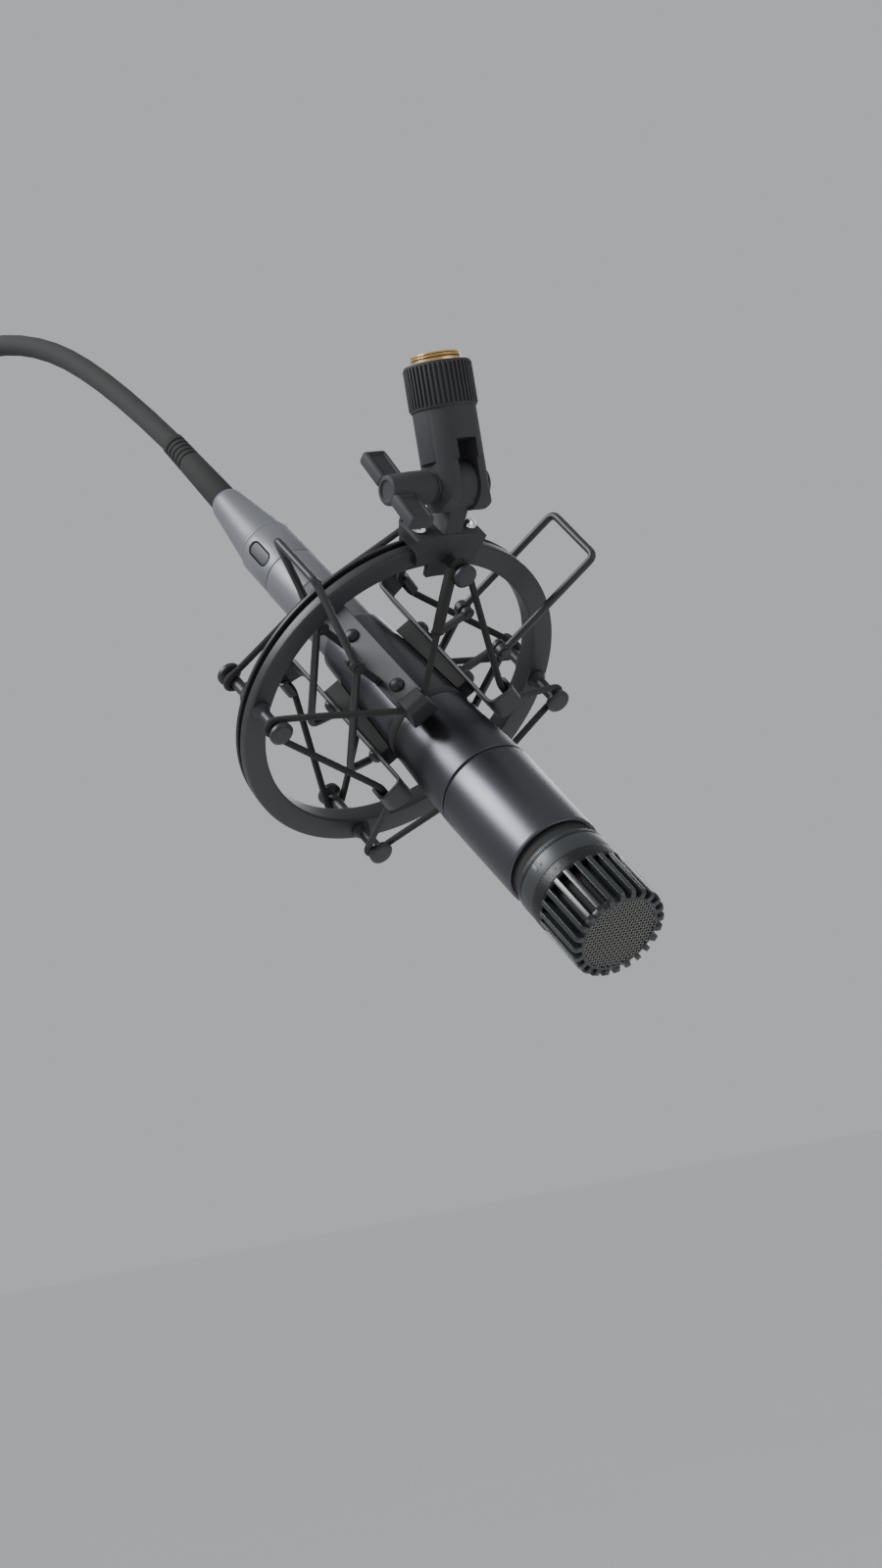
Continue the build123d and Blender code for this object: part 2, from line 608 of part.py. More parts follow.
for plate_name, plate_angle in PLATE_ANGLES.items():
    keep(f"{plate_name}_plate", placed(at_angle(clip_plate(), plate_angle)))
    keep(f"{plate_name}_pad", placed(at_angle(clip_pad(), plate_angle)))
keep("upper_plate_rivets", *[placed(at_angle(r, a)) for a in (-45, 45) for r in plate_rivets()])
for side_name, side in (("left", -1), ("right", 1)):
    keep(f"lower_{side_name}_rivets", *[placed(at_angle(r, 135 * side)) for r in plate_rivets()])
    keep(f"{side_name}_handle_wire", placed(handle_wire(side)))
keep("hinge_lugs", *[placed(hinge_lug(side, face)) for side in (-1, 1) for face in (-1, 1)])
keep("hinge_pins", *[placed(hinge_pin(side, face)) for side in (-1, 1) for face in (-1, 1)])

for builder in (grille_cage, grille_mesh, grille_foam, label_band, knurled_ring, cartridge_collar,
                cartridge_shell, diaphragm, voice_coil, pole_piece, magnet, cartridge_isolator,
                front_housing, seam_o_ring, rear_handle, handle_band, transformer, xlr_insert,
                insert_screw, plug_shell, plug_latch, plug_contacts, plug_bushing, strain_relief):
    keep(builder.__name__, placed(builder()))
keep("xlr_pins", *[placed(s) for s in xlr_pins()])

keep("cord_run", cord_run())
keep("cord_coil", cord_coil())
keep("cord_tie", cord_tie())
keep("far_plug_shell", far_plug_shell())
keep("cord_tail", cord_tail())
keep("far_plug_contacts", *far_plug_contacts())
keep("far_plug_bushing", far_plug_bushing())

os.makedirs("parts", exist_ok=True)
for name, solids in parts.items():
    export_step(Compound(children=solids), f"parts/{name}.step")
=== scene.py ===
import json
import math
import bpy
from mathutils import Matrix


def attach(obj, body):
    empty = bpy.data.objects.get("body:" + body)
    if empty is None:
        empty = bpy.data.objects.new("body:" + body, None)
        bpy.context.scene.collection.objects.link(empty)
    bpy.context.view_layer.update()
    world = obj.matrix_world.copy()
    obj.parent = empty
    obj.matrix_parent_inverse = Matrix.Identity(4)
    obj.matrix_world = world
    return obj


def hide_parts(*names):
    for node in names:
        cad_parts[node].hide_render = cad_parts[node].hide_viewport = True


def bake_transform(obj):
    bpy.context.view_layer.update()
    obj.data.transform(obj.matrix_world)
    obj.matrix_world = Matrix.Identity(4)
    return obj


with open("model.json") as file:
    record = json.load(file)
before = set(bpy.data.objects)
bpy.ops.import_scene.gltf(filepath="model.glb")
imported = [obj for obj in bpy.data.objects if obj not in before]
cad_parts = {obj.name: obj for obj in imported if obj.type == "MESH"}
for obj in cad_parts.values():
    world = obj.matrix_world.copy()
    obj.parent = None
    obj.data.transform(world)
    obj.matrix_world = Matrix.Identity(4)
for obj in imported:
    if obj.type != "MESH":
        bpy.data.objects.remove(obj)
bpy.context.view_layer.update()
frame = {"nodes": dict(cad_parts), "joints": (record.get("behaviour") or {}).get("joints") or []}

from types import SimpleNamespace

import bmesh
import bpy
from mathutils import Matrix, Vector

bl_info = {
    "name": "Shock-mounted microphone",
    "version": (1, 0, 0),
    "blender": (4, 5, 0),
    "location": "3D View > Sidebar > Microphone",
    "description": "Builds a moving-coil microphone in its spider shock mount, with its cable",
    "category": "Object",
}

MM = 0.001
JOINTS = {joint["name"]: joint for joint in frame["joints"]}
ROW = Matrix.Identity(4)
SHARP_EDGE = math.radians(38)    # faces that meet at more than this keep a crisp edge

# The ring's own frame: x to the right, y towards the swivel, z along the microphone, forwards.
REACH = 0.075
FORWARD = Vector(JOINTS["suspension"]["axis"]).normalized()
RIGHT = Vector((1, 0, 0))
STEMWARD = FORWARD.cross(RIGHT)
PIVOT = Vector(JOINTS["swivel_tilt"]["pos_m"])
RING = Matrix.Translation(PIVOT - STEMWARD * REACH) @ Matrix((RIGHT, STEMWARD, FORWARD)).transposed().to_4x4()
PIVOT_FRAME = Matrix.Translation(PIVOT) @ Matrix.Rotation(math.radians(90), 4, "Y")


# ---- settings ----
def length(name, description, millimetres):
    """A length that a user may change, kept in metres."""
    return bpy.props.FloatProperty(name=name, description=description, default=millimetres * MM,
                                   unit="LENGTH", precision=5)


def angle(name, description, degrees):
    """An angle that a user may change, kept in radians."""
    return bpy.props.FloatProperty(name=name, description=description, default=math.radians(degrees),
                                   subtype="ANGLE", unit="ROTATION")


def amount(name, description, number):
    """How many of a repeated thing there are."""
    return bpy.props.IntProperty(name=name, description=description, default=number, min=1)


def colour(name, description, red, green, blue):
    """A base colour that a user may change."""
    return bpy.props.FloatVectorProperty(name=name, description=description, default=(red, green, blue),
                                         subtype="COLOR", min=0, max=1)


def sizes(group):
    """A property group's values, with its lengths in millimetres, the unit that every outline is drawn in."""
    values = {}
    for prop in group.bl_rna.properties:
        if prop.identifier not in ("rna_type", "name"):
            value = getattr(group, prop.identifier)
            is_length = prop.type == "FLOAT" and prop.unit == "LENGTH"
            values[prop.identifier] = round(value / MM, 4) if is_length else value
    return SimpleNamespace(**values)


class MicStageSettings(bpy.types.PropertyGroup):
    aim: bpy.props.FloatVectorProperty(name="Aim", description="Point in the middle of the view",
                                       default=(-0.01235, 0.01613, -0.12967), subtype="XYZ", unit="LENGTH")
    distance: length("Distance", "From the camera to the aim point", 1497)
    azimuth: angle("Azimuth", "Camera's direction round the object", -34.25)
    elevation: angle("Elevation", "Camera's height as an angle", -2.88)
    roll: angle("Roll", "Turn of the camera about its own line of sight", 9.26)
    lens: bpy.props.FloatProperty(name="Lens", description="Focal length", default=112.5, unit="CAMERA")
    floor_drop: length("Floor drop", "How far the floor lies below the stem's thread", 900)
    floor_size: length("Floor size", "Side of the square floor", 30000)


class MicStemSettings(bpy.types.PropertyGroup):
    adapter_radius: length("Adapter radius", "Brass thread adapter's outer radius", 7.95)
    adapter_length: length("Adapter length", "Brass thread adapter's length", 21)
    thread_radius: length("Thread radius", "Inner radius of the stand thread", 4.8)
    thread_pitch: length("Thread pitch", "Step of the stand thread", 1.59)
    collar_top: length("Collar drop", "How far the collar starts below the thread's mouth", 3)
    collar_length: length("Collar length", "Length of the knurled collar", 14.3)
    collar_radius: length("Collar radius", "Knurled collar's outer radius", 10.7)
    collar_ribs: amount("Collar ribs", "Ribs round the knurled collar", 44)
    ear_face: length("Ear face", "Half the width across the stem's two ears", 8.8)


class MicWingSettings(bpy.types.PropertyGroup):
    start: length("Hub start", "Where the wing screw's hub starts, from the stem's axis", 9.75)
    end: length("Hub end", "Where the wing screw's hub ends, from the stem's axis", 25.8)
    hub_radius: length("Hub radius", "Radius of the wing screw's hub", 5.3)
    reach: length("Blade reach", "From the hub's axis to a blade's end", 16.5)
    blade_thickness: length("Blade thickness", "Thickness of a blade", 4.6)
    blade_width: length("Blade width", "Width of a blade along the hub", 8.5)


class MicRingSettings(bpy.types.PropertyGroup):
    radius: length("Ring radius", "Outer radius of the shock ring", 55.7)
    bore: length("Ring bore", "Inner radius of the shock ring", 48.3)
    half_width: length("Half width", "Half the ring's width along the microphone", 3.5)
    groove_depth: length("Groove depth", "Depth of the groove in the ring's rim", 2.6)
    post_circle: length("Post circle", "Radius on which the posts stand", 52.2)
    post_radius: length("Post radius", "Radius of a post's shank", 1.9)
    post_end: length("Post end", "Height of a post's head from the ring's middle", 17.6)
    post_head: length("Post head", "Radius of a post's head", 3.9)
    posts: amount("Posts", "Posts round the ring", 4)


class MicClipSettings(bpy.types.PropertyGroup):
    plate_radius: length("Plate radius", "From the microphone's axis to a plate's inner face", 17.6)
    plate_thickness: length("Plate thickness", "Thickness of a clip plate", 1.2)
    plate_width: length("Plate width", "Width of a clip plate", 9.5)
    plate_half: length("Plate half length", "From the ring's middle to a plate's end", 35)
    tab_radius: length("Tab radius", "From the microphone's axis to the top of a plate's hook", 27)
    tab_back: length("Tab length", "Length of a hook along the plate", 7)
    rivet_first: length("Rear rivet", "Place of the rear rivet along the microphone", -11.6)
    rivet_step: length("Rivet spacing", "From one rivet to the next", 27.6)
    wire_radius: length("Wire radius", "Radius of the handle wire", 1.25)
    leg_place: length("Leg place", "How far each handle leg runs from the ring's middle", 12.3)
    lug_place: length("Lug place", "How far each hinge lug stands from the ring's middle", 9.4)
    lug_thickness: length("Lug thickness", "Thickness of a hinge lug", 1.6)


class MicElasticSettings(bpy.types.PropertyGroup):
    radius: length("Elastic radius", "Radius of the braided elastic cord", 1.1)
    loop_height: length("Loop height", "Where the elastic lies on a post", 12.6)
    hook_radius: length("Hook radius", "From the microphone's axis to the elastic in a hook", 24.3)
    hook_place: length("Hook place", "Where the elastic lies in a hook, along the microphone", 30.9)
    braid: length("Braid step", "Length of one turn of the braid", 2.6)


class MicHeadSettings(bpy.types.PropertyGroup):
    front: length("Front face", "From the ring's middle to the microphone's front", 131.4)
    radius: length("Microphone radius", "Outer radius of the head and housing", 16)
    rib_width: length("Rib width", "Width of a rib of the cage", 1.75)
    ribs: amount("Ribs", "Ribs round the cage", 24)
    mesh_radius: length("Mesh radius", "Radius of the woven disc", 12.9)
    mesh_pitch: length("Mesh pitch", "Spacing of the wires", 1.04)
    mesh_wire: length("Mesh wire", "Radius of a wire", 0.2)
    knurls: amount("Knurls", "Ridges round the knurled ring", 150)


class MicCableSettings(bpy.types.PropertyGroup):
    diameter: length("Cable diameter", "Outer diameter of the cable", 7.2)
    cord_length: length("Cable length", "Length of the free cable between its plugs", 1900)
    turn_gap: length("Turn spacing", "From one stored turn to the next", 8)


class MicColourSettings(bpy.types.PropertyGroup):
    enamel: colour("Enamel", "Microphone's body", 0.020, 0.0208, 0.0238)
    steel: colour("Black steel", "Ring, plates and wires", 0.010, 0.0104, 0.0114)
    plastic: colour("Black plastic", "Stem and wing screw", 0.010, 0.0102, 0.011)
    cage: colour("Cage", "Head cage", 0.007, 0.0072, 0.0078)
    rubber: colour("Rubber", "Bands, pads and sleeves", 0.006, 0.006, 0.0064)
    braid: colour("Braid", "Elastic cord", 0.008, 0.008, 0.0087)
    plug: colour("Plug", "Cable plug's shell", 0.066, 0.068, 0.076)
    cable: colour("Cable", "Cable's jacket", 0.012, 0.0123, 0.0137)
    brass: colour("Brass", "Thread adapter and contacts", 0.62, 0.43, 0.19)


# ---- drawing tools ----
def arc(before, here, after, radius, share, steps):
    """A small curve in place of a corner, along at most a share of the line on each side of it."""
    one, two = before - here, after - here
    reach = min(radius * math.tan((math.pi - one.angle(two)) / 2), share * one.length, share * two.length)
    if reach < 1e-4:
        return [here]
    start, stop = here + one.normalized() * reach, here + two.normalized() * reach
    return [start.lerp(here, k / steps).lerp(here.lerp(stop, k / steps), k / steps) for k in range(steps + 1)]


def eased(corners, radius, steps=3):
    """A closed outline with each corner off the axis eased; a third number is a corner's own radius."""
    points = []
    for i, corner in enumerate(corners):
        here = Vector(corner[:2])
        if here.x < 1e-6:
            points.append(here)
            continue
        before, after = Vector(corners[i - 1][:2]), Vector(corners[(i + 1) % len(corners)][:2])
        points += arc(before, here, after, corner[2] if len(corner) > 2 else radius, 0.45, steps)
    return points


def faced_out(bm):
    """The shape with every face turned outwards."""
    bmesh.ops.recalc_face_normals(bm, faces=bm.faces)
    return bm


def bevelled(bm, edges, width, steps, **settings):
    """The shape with these edges rounded."""
    bmesh.ops.bevel(bm, geom=edges, offset=width, segments=steps, profile=0.5, affect="EDGES", **settings)
    return bm


def skinned(bm, rows, uv=None, places=(), girth=1):
    """Faces between closed rows of points and over both ends, with length and girth in a UV map."""
    count = len(rows[0])
    for i, (one, two) in enumerate(zip(rows, rows[1:])):
        for k in range(count):
            face = bm.faces.new((one[k], one[(k + 1) % count], two[(k + 1) % count], two[k]))
            if uv is not None:
                corners = ((i, k), (i, k + 1), (i + 1, k + 1), (i + 1, k))
                for loop, (row, turn) in zip(face.loops, corners):
                    loop[uv].uv = (places[row], turn / girth)
    bm.faces.new(rows[0][::-1])
    bm.faces.new(rows[-1])
    return bm


def lathe(corners, radius=0.15, segments=96, steps=3):
    """A closed solid of revolution about z, from (radius, height) corners."""
    outline = eased(corners, radius, steps)
    bm = bmesh.new()
    rows = []
    for point in outline:
        if point.x < 1e-6:
            rows.append([bm.verts.new((0, 0, point.y))])
        else:
            turns = [2 * math.pi * k / segments for k in range(segments)]
            rows.append([bm.verts.new((point.x * math.cos(a), point.x * math.sin(a),
                                       point.y)) for a in turns])
    for one, two in zip(rows, rows[1:] + rows[:1]):
        if len(one) == len(two) == 1:
            continue
        for k in range(segments):
            corners_of_face = [one[k % len(one)], one[(k + 1) % len(one)], two[(k + 1) % len(two)],
                               two[k % len(two)]]
            bm.faces.new(list(dict.fromkeys(corners_of_face)))
    return faced_out(bm)


def joined(*shapes):
    """Several shapes as one."""
    whole = bmesh.new()
    for shape in shapes:
        part = bpy.data.meshes.new("part")
        shape.to_mesh(part)
        shape.free()
        whole.from_mesh(part)
        bpy.data.meshes.remove(part)
    return whole


def moved(shape, matrix):
    """The shape, moved; a mirrored one has its faces turned the right way again."""
    bmesh.ops.transform(shape, matrix=matrix, verts=shape.verts)
    if matrix.determinant() < 0:
        bmesh.ops.reverse_faces(shape, faces=shape.faces)
    return shape


def slid(shape, x, y, z):
    """The shape, moved without a turn."""
    return moved(shape, Matrix.Translation((x, y, z)))


def block(low, high, bevel, steps=3):
    """A box between two corners, with rounded edges."""
    bm = bmesh.new()
    bmesh.ops.create_cube(bm, size=1)
    low, high = Vector(low), Vector(high)
    size = high - low
    bmesh.ops.transform(bm, matrix=Matrix.Translation((low + high) / 2) @ Matrix.Diagonal(size).to_4x4(),
                        verts=bm.verts)
    return bevelled(bm, bm.edges, bevel, steps)


def filleted(points, radii, steps=6):
    """A path through points with its corners rounded."""
    path = [Vector(points[0])]
    for before, corner, after, radius in zip(points, points[1:], points[2:], radii):
        path += arc(Vector(before), Vector(corner), Vector(after), radius, 0.48, steps)
    return path + [Vector(points[-1])]


def softened(points, rounds=3):
    """A path with its corners cut again and again, so that it bends like a cord. Its ends stay."""
    path = [Vector(p) for p in points]
    for _ in range(rounds):
        inside = []
        for one, two in zip(path, path[1:]):
            inside += [one.lerp(two, 0.25), one.lerp(two, 0.75)]
        path = [path[0]] + inside[1:-1] + [path[-1]]
    return path


def spaced(path, step):
    """The path again, with its points a step apart."""
    lengths = [0.0]
    for one, two in zip(path, path[1:]):
        lengths.append(lengths[-1] + (two - one).length)
    count = max(2, math.ceil(lengths[-1] / step))
    points, k = [], 0
    for i in range(count + 1):
        at = lengths[-1] * i / count
        while k < len(path) - 2 and lengths[k + 1] < at:
            k += 1
        share = (at - lengths[k]) / max(lengths[k + 1] - lengths[k], 1e-9)
        points.append(path[k].lerp(path[k + 1], min(share, 1.0)))
    return points


def tube(path, radius, sides=16):
    """A round tube along a path, closed at its ends, with its length and girth in a UV map. radius may be a
    function of the distance along it and the angle round it."""
    bm = bmesh.new()
    uv = bm.loops.layers.uv.new("along")
    tangents = [(path[min(i + 1, len(path) - 1)] - path[max(i - 1,
                                                            0)]).normalized() for i in range(len(path))]
    normal = tangents[0].orthogonal().normalized()
    rows, places, along = [], [], 0.0
    for i, (point, tangent) in enumerate(zip(path, tangents)):
        normal = (normal - tangent * normal.dot(tangent)).normalized()
        side = tangent.cross(normal)
        along += (point - path[i - 1]).length if i else 0.0
        row = []
        for k in range(sides):
            turn = 2 * math.pi * k / sides
            size = radius(along, turn) if callable(radius) else radius
            row.append(bm.verts.new(point + (normal * math.cos(turn) + side * math.sin(turn)) * size))
        rows.append(row)
        places.append(along)
    return skinned(bm, rows, uv, places, sides)


def strip(path, thickness, edge=0.3):
    """A bent flat strip of rounded section. path has (height from the axis, place along it, width) points."""
    half = thickness / 2
    section = [(-1, -half + edge), (-1, half - edge), (-1 + 1e-9, half), (1 - 1e-9, half), (1, half - edge),
               (1, -half + edge), (1 - 1e-9, -half), (-1 + 1e-9, -half)]
    bm = bmesh.new()
    rows = []
    for i, (y, z, width) in enumerate(path):
        before, after = path[max(i - 1, 0)], path[min(i + 1, len(path) - 1)]
        tangent = Vector((after[0] - before[0], after[1] - before[1])).normalized()
        normal = Vector((tangent.y, -tangent.x))
        row = []
        for across, out in section:
            inset = edge if abs(across) < 1 else 0
            x = math.copysign(width / 2 - inset, across)
            row.append(bm.verts.new((x, y + normal.x * out, z + normal.y * out)))
        rows.append(row)
    return faced_out(skinned(bm, rows))


def refined(node, width, steps=3, corner=30):
    """A merged copy of a CAD node's mesh, in millimetres, with its sharp edges rounded."""
    bm = bmesh.new()
    bm.from_mesh(frame["nodes"][node].data)
    bmesh.ops.scale(bm, vec=(1 / MM,) * 3, verts=bm.verts)
    bmesh.ops.remove_doubles(bm, verts=bm.verts, dist=0.003)
    bmesh.ops.dissolve_limit(bm, angle_limit=math.radians(0.4), verts=bm.verts, edges=bm.edges)
    sharp = [e for e in bm.edges if e.is_manifold and e.calc_face_angle(0) > math.radians(corner)]
    return bevelled(bm, sharp, width, steps, clamp_overlap=True)


def placed(name, data):
    """A new object in the scene."""
    obj = bpy.data.objects.new(name, data)
    bpy.context.scene.collection.objects.link(obj)
    return obj


def as_mesh(name, shape):
    """A bmesh as a mesh."""
    mesh = bpy.data.meshes.new(name)
    shape.to_mesh(mesh)
    shape.free()
    return mesh


def piece(name, shape, body, slot, *nodes, finish=None, place=RING):
    """A finished piece from a shape drawn in millimetres, in its slot's finish unless another is named."""
    mesh = shape if isinstance(shape, bpy.types.Mesh) else as_mesh(name, shape)
    mesh.transform(place @ Matrix.Scale(MM, 4))
    mesh.materials.clear()
    mesh.materials.append(material(finish or slot))
    mesh.shade_smooth()
    mesh.set_sharp_from_angle(angle=SHARP_EDGE)
    obj = placed(name, mesh)
    if body:
        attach(obj, body)
    if nodes:
        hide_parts(*nodes)
    return obj


def kept_shape(name, node, body, slot, width, steps=3, corner=30, **settings):
    """A finished piece with the shape of the CAD node that it replaces, its sharp edges rounded."""
    return piece(name, refined(node, width, steps, corner), body, slot, node, place=ROW, **settings)


def turned_by(degrees):
    """The turn about the microphone that takes the stem's side to an angle, to the right."""
    return Matrix.Rotation(math.radians(-degrees), 4, "Z")


# ---- Geometry Nodes ----
def feed(tree, node, inputs):
    """Joins a node's inputs to sockets, or sets them to values."""
    for key, value in inputs.items():
        if isinstance(value, bpy.types.NodeSocket):
            tree.links.new(value, node.inputs[key])
        else:
            node.inputs[key].default_value = value


def add(tree, kind, inputs=None, **settings):
    """A node in a tree, with its settings and its inputs."""
    node = tree.nodes.new(kind)
    for key, value in settings.items():
        setattr(node, key, value)
    feed(tree, node, inputs or {})
    return node


def output(tree, kind, inputs=None, **settings):
    """The first output of a new node."""
    return add(tree, kind, inputs, **settings).outputs[0]


def calc(tree, operation, *values):
    """A calculation on sockets and numbers."""
    return output(tree, "ShaderNodeMath", dict(enumerate(values)), operation=operation)


def realized(tree, end, shape, finish):
    """Ends a Geometry Nodes tree: real meshes, in one finish."""
    real = output(tree, "GeometryNodeRealizeInstances", {"Geometry": shape})
    done = output(tree, "GeometryNodeSetMaterial", {"Geometry": real, "Material": finish})
    feed(tree, end, {"Geometry": done})
    return tree


def sockets(tree, given, made):
    """Gives a tree its named inputs and outputs, and its two end nodes."""
    for label, kind, default in given:
        socket = tree.interface.new_socket(label, in_out="INPUT", socket_type="NodeSocket" + kind)
        if default is not None:
            socket.default_value = default
    for label, kind in made:
        tree.interface.new_socket(label, in_out="OUTPUT", socket_type="NodeSocket" + kind)
    return tree.nodes.new("NodeGroupInput").outputs, tree.nodes.new("NodeGroupOutput")


def copies_tree():
    """Copies of an object in rows and round the z axis."""
    tree = bpy.data.node_groups.new("Spaced copies", "GeometryNodeTree")
    given, end = sockets(tree, [
        ("Geometry", "Geometry", None), ("Original", "Object", None), ("Rows", "Int", 1),
        ("Turns", "Int", 1), ("Row step", "Vector", (0, 0, 0)), ("First turn", "Float", 0.0),
        ("Turn step", "Float", 0.0), ("Finish", "Material", None)], [("Geometry", "Geometry")])
    index = output(tree, "GeometryNodeInputIndex")
    count = calc(tree, "MULTIPLY", given["Rows"], given["Turns"])
    row = calc(tree, "MODULO", index, given["Rows"])
    share = calc(tree, "DIVIDE", index, given["Rows"])
    around = calc(tree, "FLOOR", share)
    turn = calc(tree, "MULTIPLY_ADD", around, given["Turn step"], given["First turn"])
    offset = output(tree, "ShaderNodeVectorMath", {0: given["Row step"], "Scale": row}, operation="SCALE")
    place = output(tree, "ShaderNodeVectorRotate", {"Vector": offset, "Angle": turn}, rotation_type="Z_AXIS")
    line = output(tree, "GeometryNodeMeshLine", {"Count": count, "Offset": (0, 0, 0)})
    spread = output(tree, "GeometryNodeSetPosition", {"Geometry": line, "Position": place})
    rotation = output(tree, "ShaderNodeCombineXYZ", {"Z": turn})
    original = add(tree, "GeometryNodeObjectInfo", {"Object": given["Original"]}).outputs["Geometry"]
    copies = output(tree, "GeometryNodeInstanceOnPoints",
                 {"Points": spread, "Instance": original, "Rotation": rotation})
    return realized(tree, end, copies, given["Finish"])


def woven_tree():
    """A round disc of woven wires about the origin."""
    tree = bpy.data.node_groups.new("Woven wire", "GeometryNodeTree")
    given, end = sockets(tree, [
        ("Geometry", "Geometry", None), ("Radius", "Float", 1.0), ("Pitch", "Float", 0.1),
        ("Wire", "Float", 0.01), ("Finish", "Material", None)], [("Geometry", "Geometry")])
    across = calc(tree, "DIVIDE", given["Radius"], given["Pitch"])
    half = calc(tree, "FLOOR", across)
    count = calc(tree, "MULTIPLY_ADD", half, 2.0, 1.0)
    first = calc(tree, "MULTIPLY", half, given["Pitch"])
    below = calc(tree, "MULTIPLY", first, -1.0)
    start = output(tree, "ShaderNodeCombineXYZ", {"Y": below})
    step = output(tree, "ShaderNodeCombineXYZ", {"Y": given["Pitch"]})
    rows = output(tree, "GeometryNodeMeshLine", {"Count": count, "Start Location": start, "Offset": step})
    left = calc(tree, "MULTIPLY", given["Radius"], -1.0)
    one = output(tree, "ShaderNodeCombineXYZ", {"X": left})
    two = output(tree, "ShaderNodeCombineXYZ", {"X": given["Radius"]})
    wire = output(tree, "GeometryNodeCurvePrimitiveLine", {"Start": one, "End": two})
    fine = calc(tree, "DIVIDE", given["Pitch"], 6.0)
    points = output(tree, "GeometryNodeResampleCurve", {"Curve": wire, "Length": fine}, mode="LENGTH")
    laid = output(tree, "GeometryNodeInstanceOnPoints", {"Points": rows, "Instance": points})
    wires = output(tree, "GeometryNodeRealizeInstances", {"Geometry": laid})
    place = add(tree, "ShaderNodeSeparateXYZ", {0: output(tree, "GeometryNodeInputPosition")}).outputs
    over_x = calc(tree, "DIVIDE", place["X"], given["Pitch"])
    over_y = calc(tree, "DIVIDE", place["Y"], given["Pitch"])
    phase = calc(tree, "ADD", over_x, over_y)
    shifted = calc(tree, "ADD", phase, -0.5)
    radians = calc(tree, "MULTIPLY", shifted, math.pi)
    wave = calc(tree, "SINE", radians)
    lift = calc(tree, "MULTIPLY", wave, given["Wire"])
    rise = output(tree, "ShaderNodeCombineXYZ", {"Z": lift})
    wavy = output(tree, "GeometryNodeSetPosition", {"Geometry": wires, "Offset": rise})
    far = add(tree, "ShaderNodeVectorMath", {0: output(tree, "GeometryNodeInputPosition")},
              operation="LENGTH").outputs["Value"]
    outside = output(tree, "FunctionNodeCompare", {0: far, 1: given["Radius"]}, data_type="FLOAT",
                  operation="GREATER_THAN")
    cut = output(tree, "GeometryNodeDeleteGeometry", {"Geometry": wavy, "Selection": outside}, domain="POINT")
    section = output(tree, "GeometryNodeCurvePrimitiveCircle", {"Resolution": 5, "Radius": given["Wire"]})
    round_wires = output(tree, "GeometryNodeCurveToMesh",
                      {"Curve": cut, "Profile Curve": section, "Fill Caps": True})
    # The second set of wires is the first turned a quarter, which also swaps over and under.
    crossed = add(tree, "GeometryNodeTransform",
                  {"Geometry": round_wires, "Rotation": (0, 0, math.radians(90))}).outputs[0]
    both = add(tree, "GeometryNodeJoinGeometry")
    tree.links.new(round_wires, both.inputs[0])
    tree.links.new(crossed, both.inputs[0])
    return realized(tree, end, both.outputs[0], given["Finish"])


def grown(tree_name, maker, **values):
    """The mesh that a Geometry Nodes tree makes from named inputs."""
    tree = bpy.data.node_groups.get(tree_name) or maker()
    carrier = placed("carrier", bpy.data.meshes.new("carrier"))
    modifier = carrier.modifiers.new(tree_name, "NODES")
    modifier.node_group = tree
    identifiers = {item.name: item.identifier for item in tree.interface.items_tree if item.in_out == "INPUT"}
    for label, value in values.items():
        modifier[identifiers[label.replace("_", " ")]] = value
    bpy.context.view_layer.update()
    evaluated = carrier.evaluated_get(bpy.context.evaluated_depsgraph_get())
    mesh = bpy.data.meshes.new_from_object(evaluated)
    carrier.modifiers.remove(modifier)
    bpy.data.objects.remove(carrier)
    return mesh


def repeated(shape, finish, rows=1, step=(0, 0, 0), turns=1, first=0.0, turn=0.0):
    """A shape repeated in rows and round the z axis; angles are in degrees from the stem's side, rightwards."""
    original = placed("original", as_mesh("original", shape))
    mesh = grown("Spaced copies", copies_tree, Original=original, Rows=rows, Turns=turns, Row_step=step,
                 First_turn=math.radians(-first), Turn_step=math.radians(-turn), Finish=material(finish))
    bpy.data.objects.remove(original)
    return mesh


def from_mesh(*meshes):
    """Meshes as one bmesh."""
    whole = bmesh.new()
    for mesh in meshes:
        whole.from_mesh(mesh)
        bpy.data.meshes.remove(mesh)
    return whole


# ---- shader groups ----
def grain_group():
    """Fine moulded or sprayed grain, with slow variation over the surface."""
    group = bpy.data.node_groups.new("Fine grain", "ShaderNodeTree")
    given, end = sockets(group, [
        ("Vector", "Vector", None), ("Scale", "Float", 2000.0), ("Roundness", "Float", 2.0),
        ("Patch scale", "Float", 60.0), ("Low", "Float", 0.4), ("High", "Float", 0.5)],
        [("Height", "Float"), ("Patches", "Float"), ("Roughness", "Float")])
    fine = output(group, "ShaderNodeTexNoise",
               {"Vector": given["Vector"], "Scale": given["Scale"], "Detail": given["Roundness"]})
    slow = output(group, "ShaderNodeTexNoise",
               {"Vector": given["Vector"], "Scale": given["Patch scale"], "Detail": 4.0, "Roughness": 0.6})
    patches = output(group, "ShaderNodeMapRange",
                  {"Value": slow, "From Min": 0.35, "From Max": 0.68}, interpolation_type="SMOOTHSTEP")
    rough = output(group, "ShaderNodeMapRange",
                {"Value": patches, "To Min": given["Low"], "To Max": given["High"]})
    feed(group, end, {"Height": fine, "Patches": patches, "Roughness": rough})
    return group


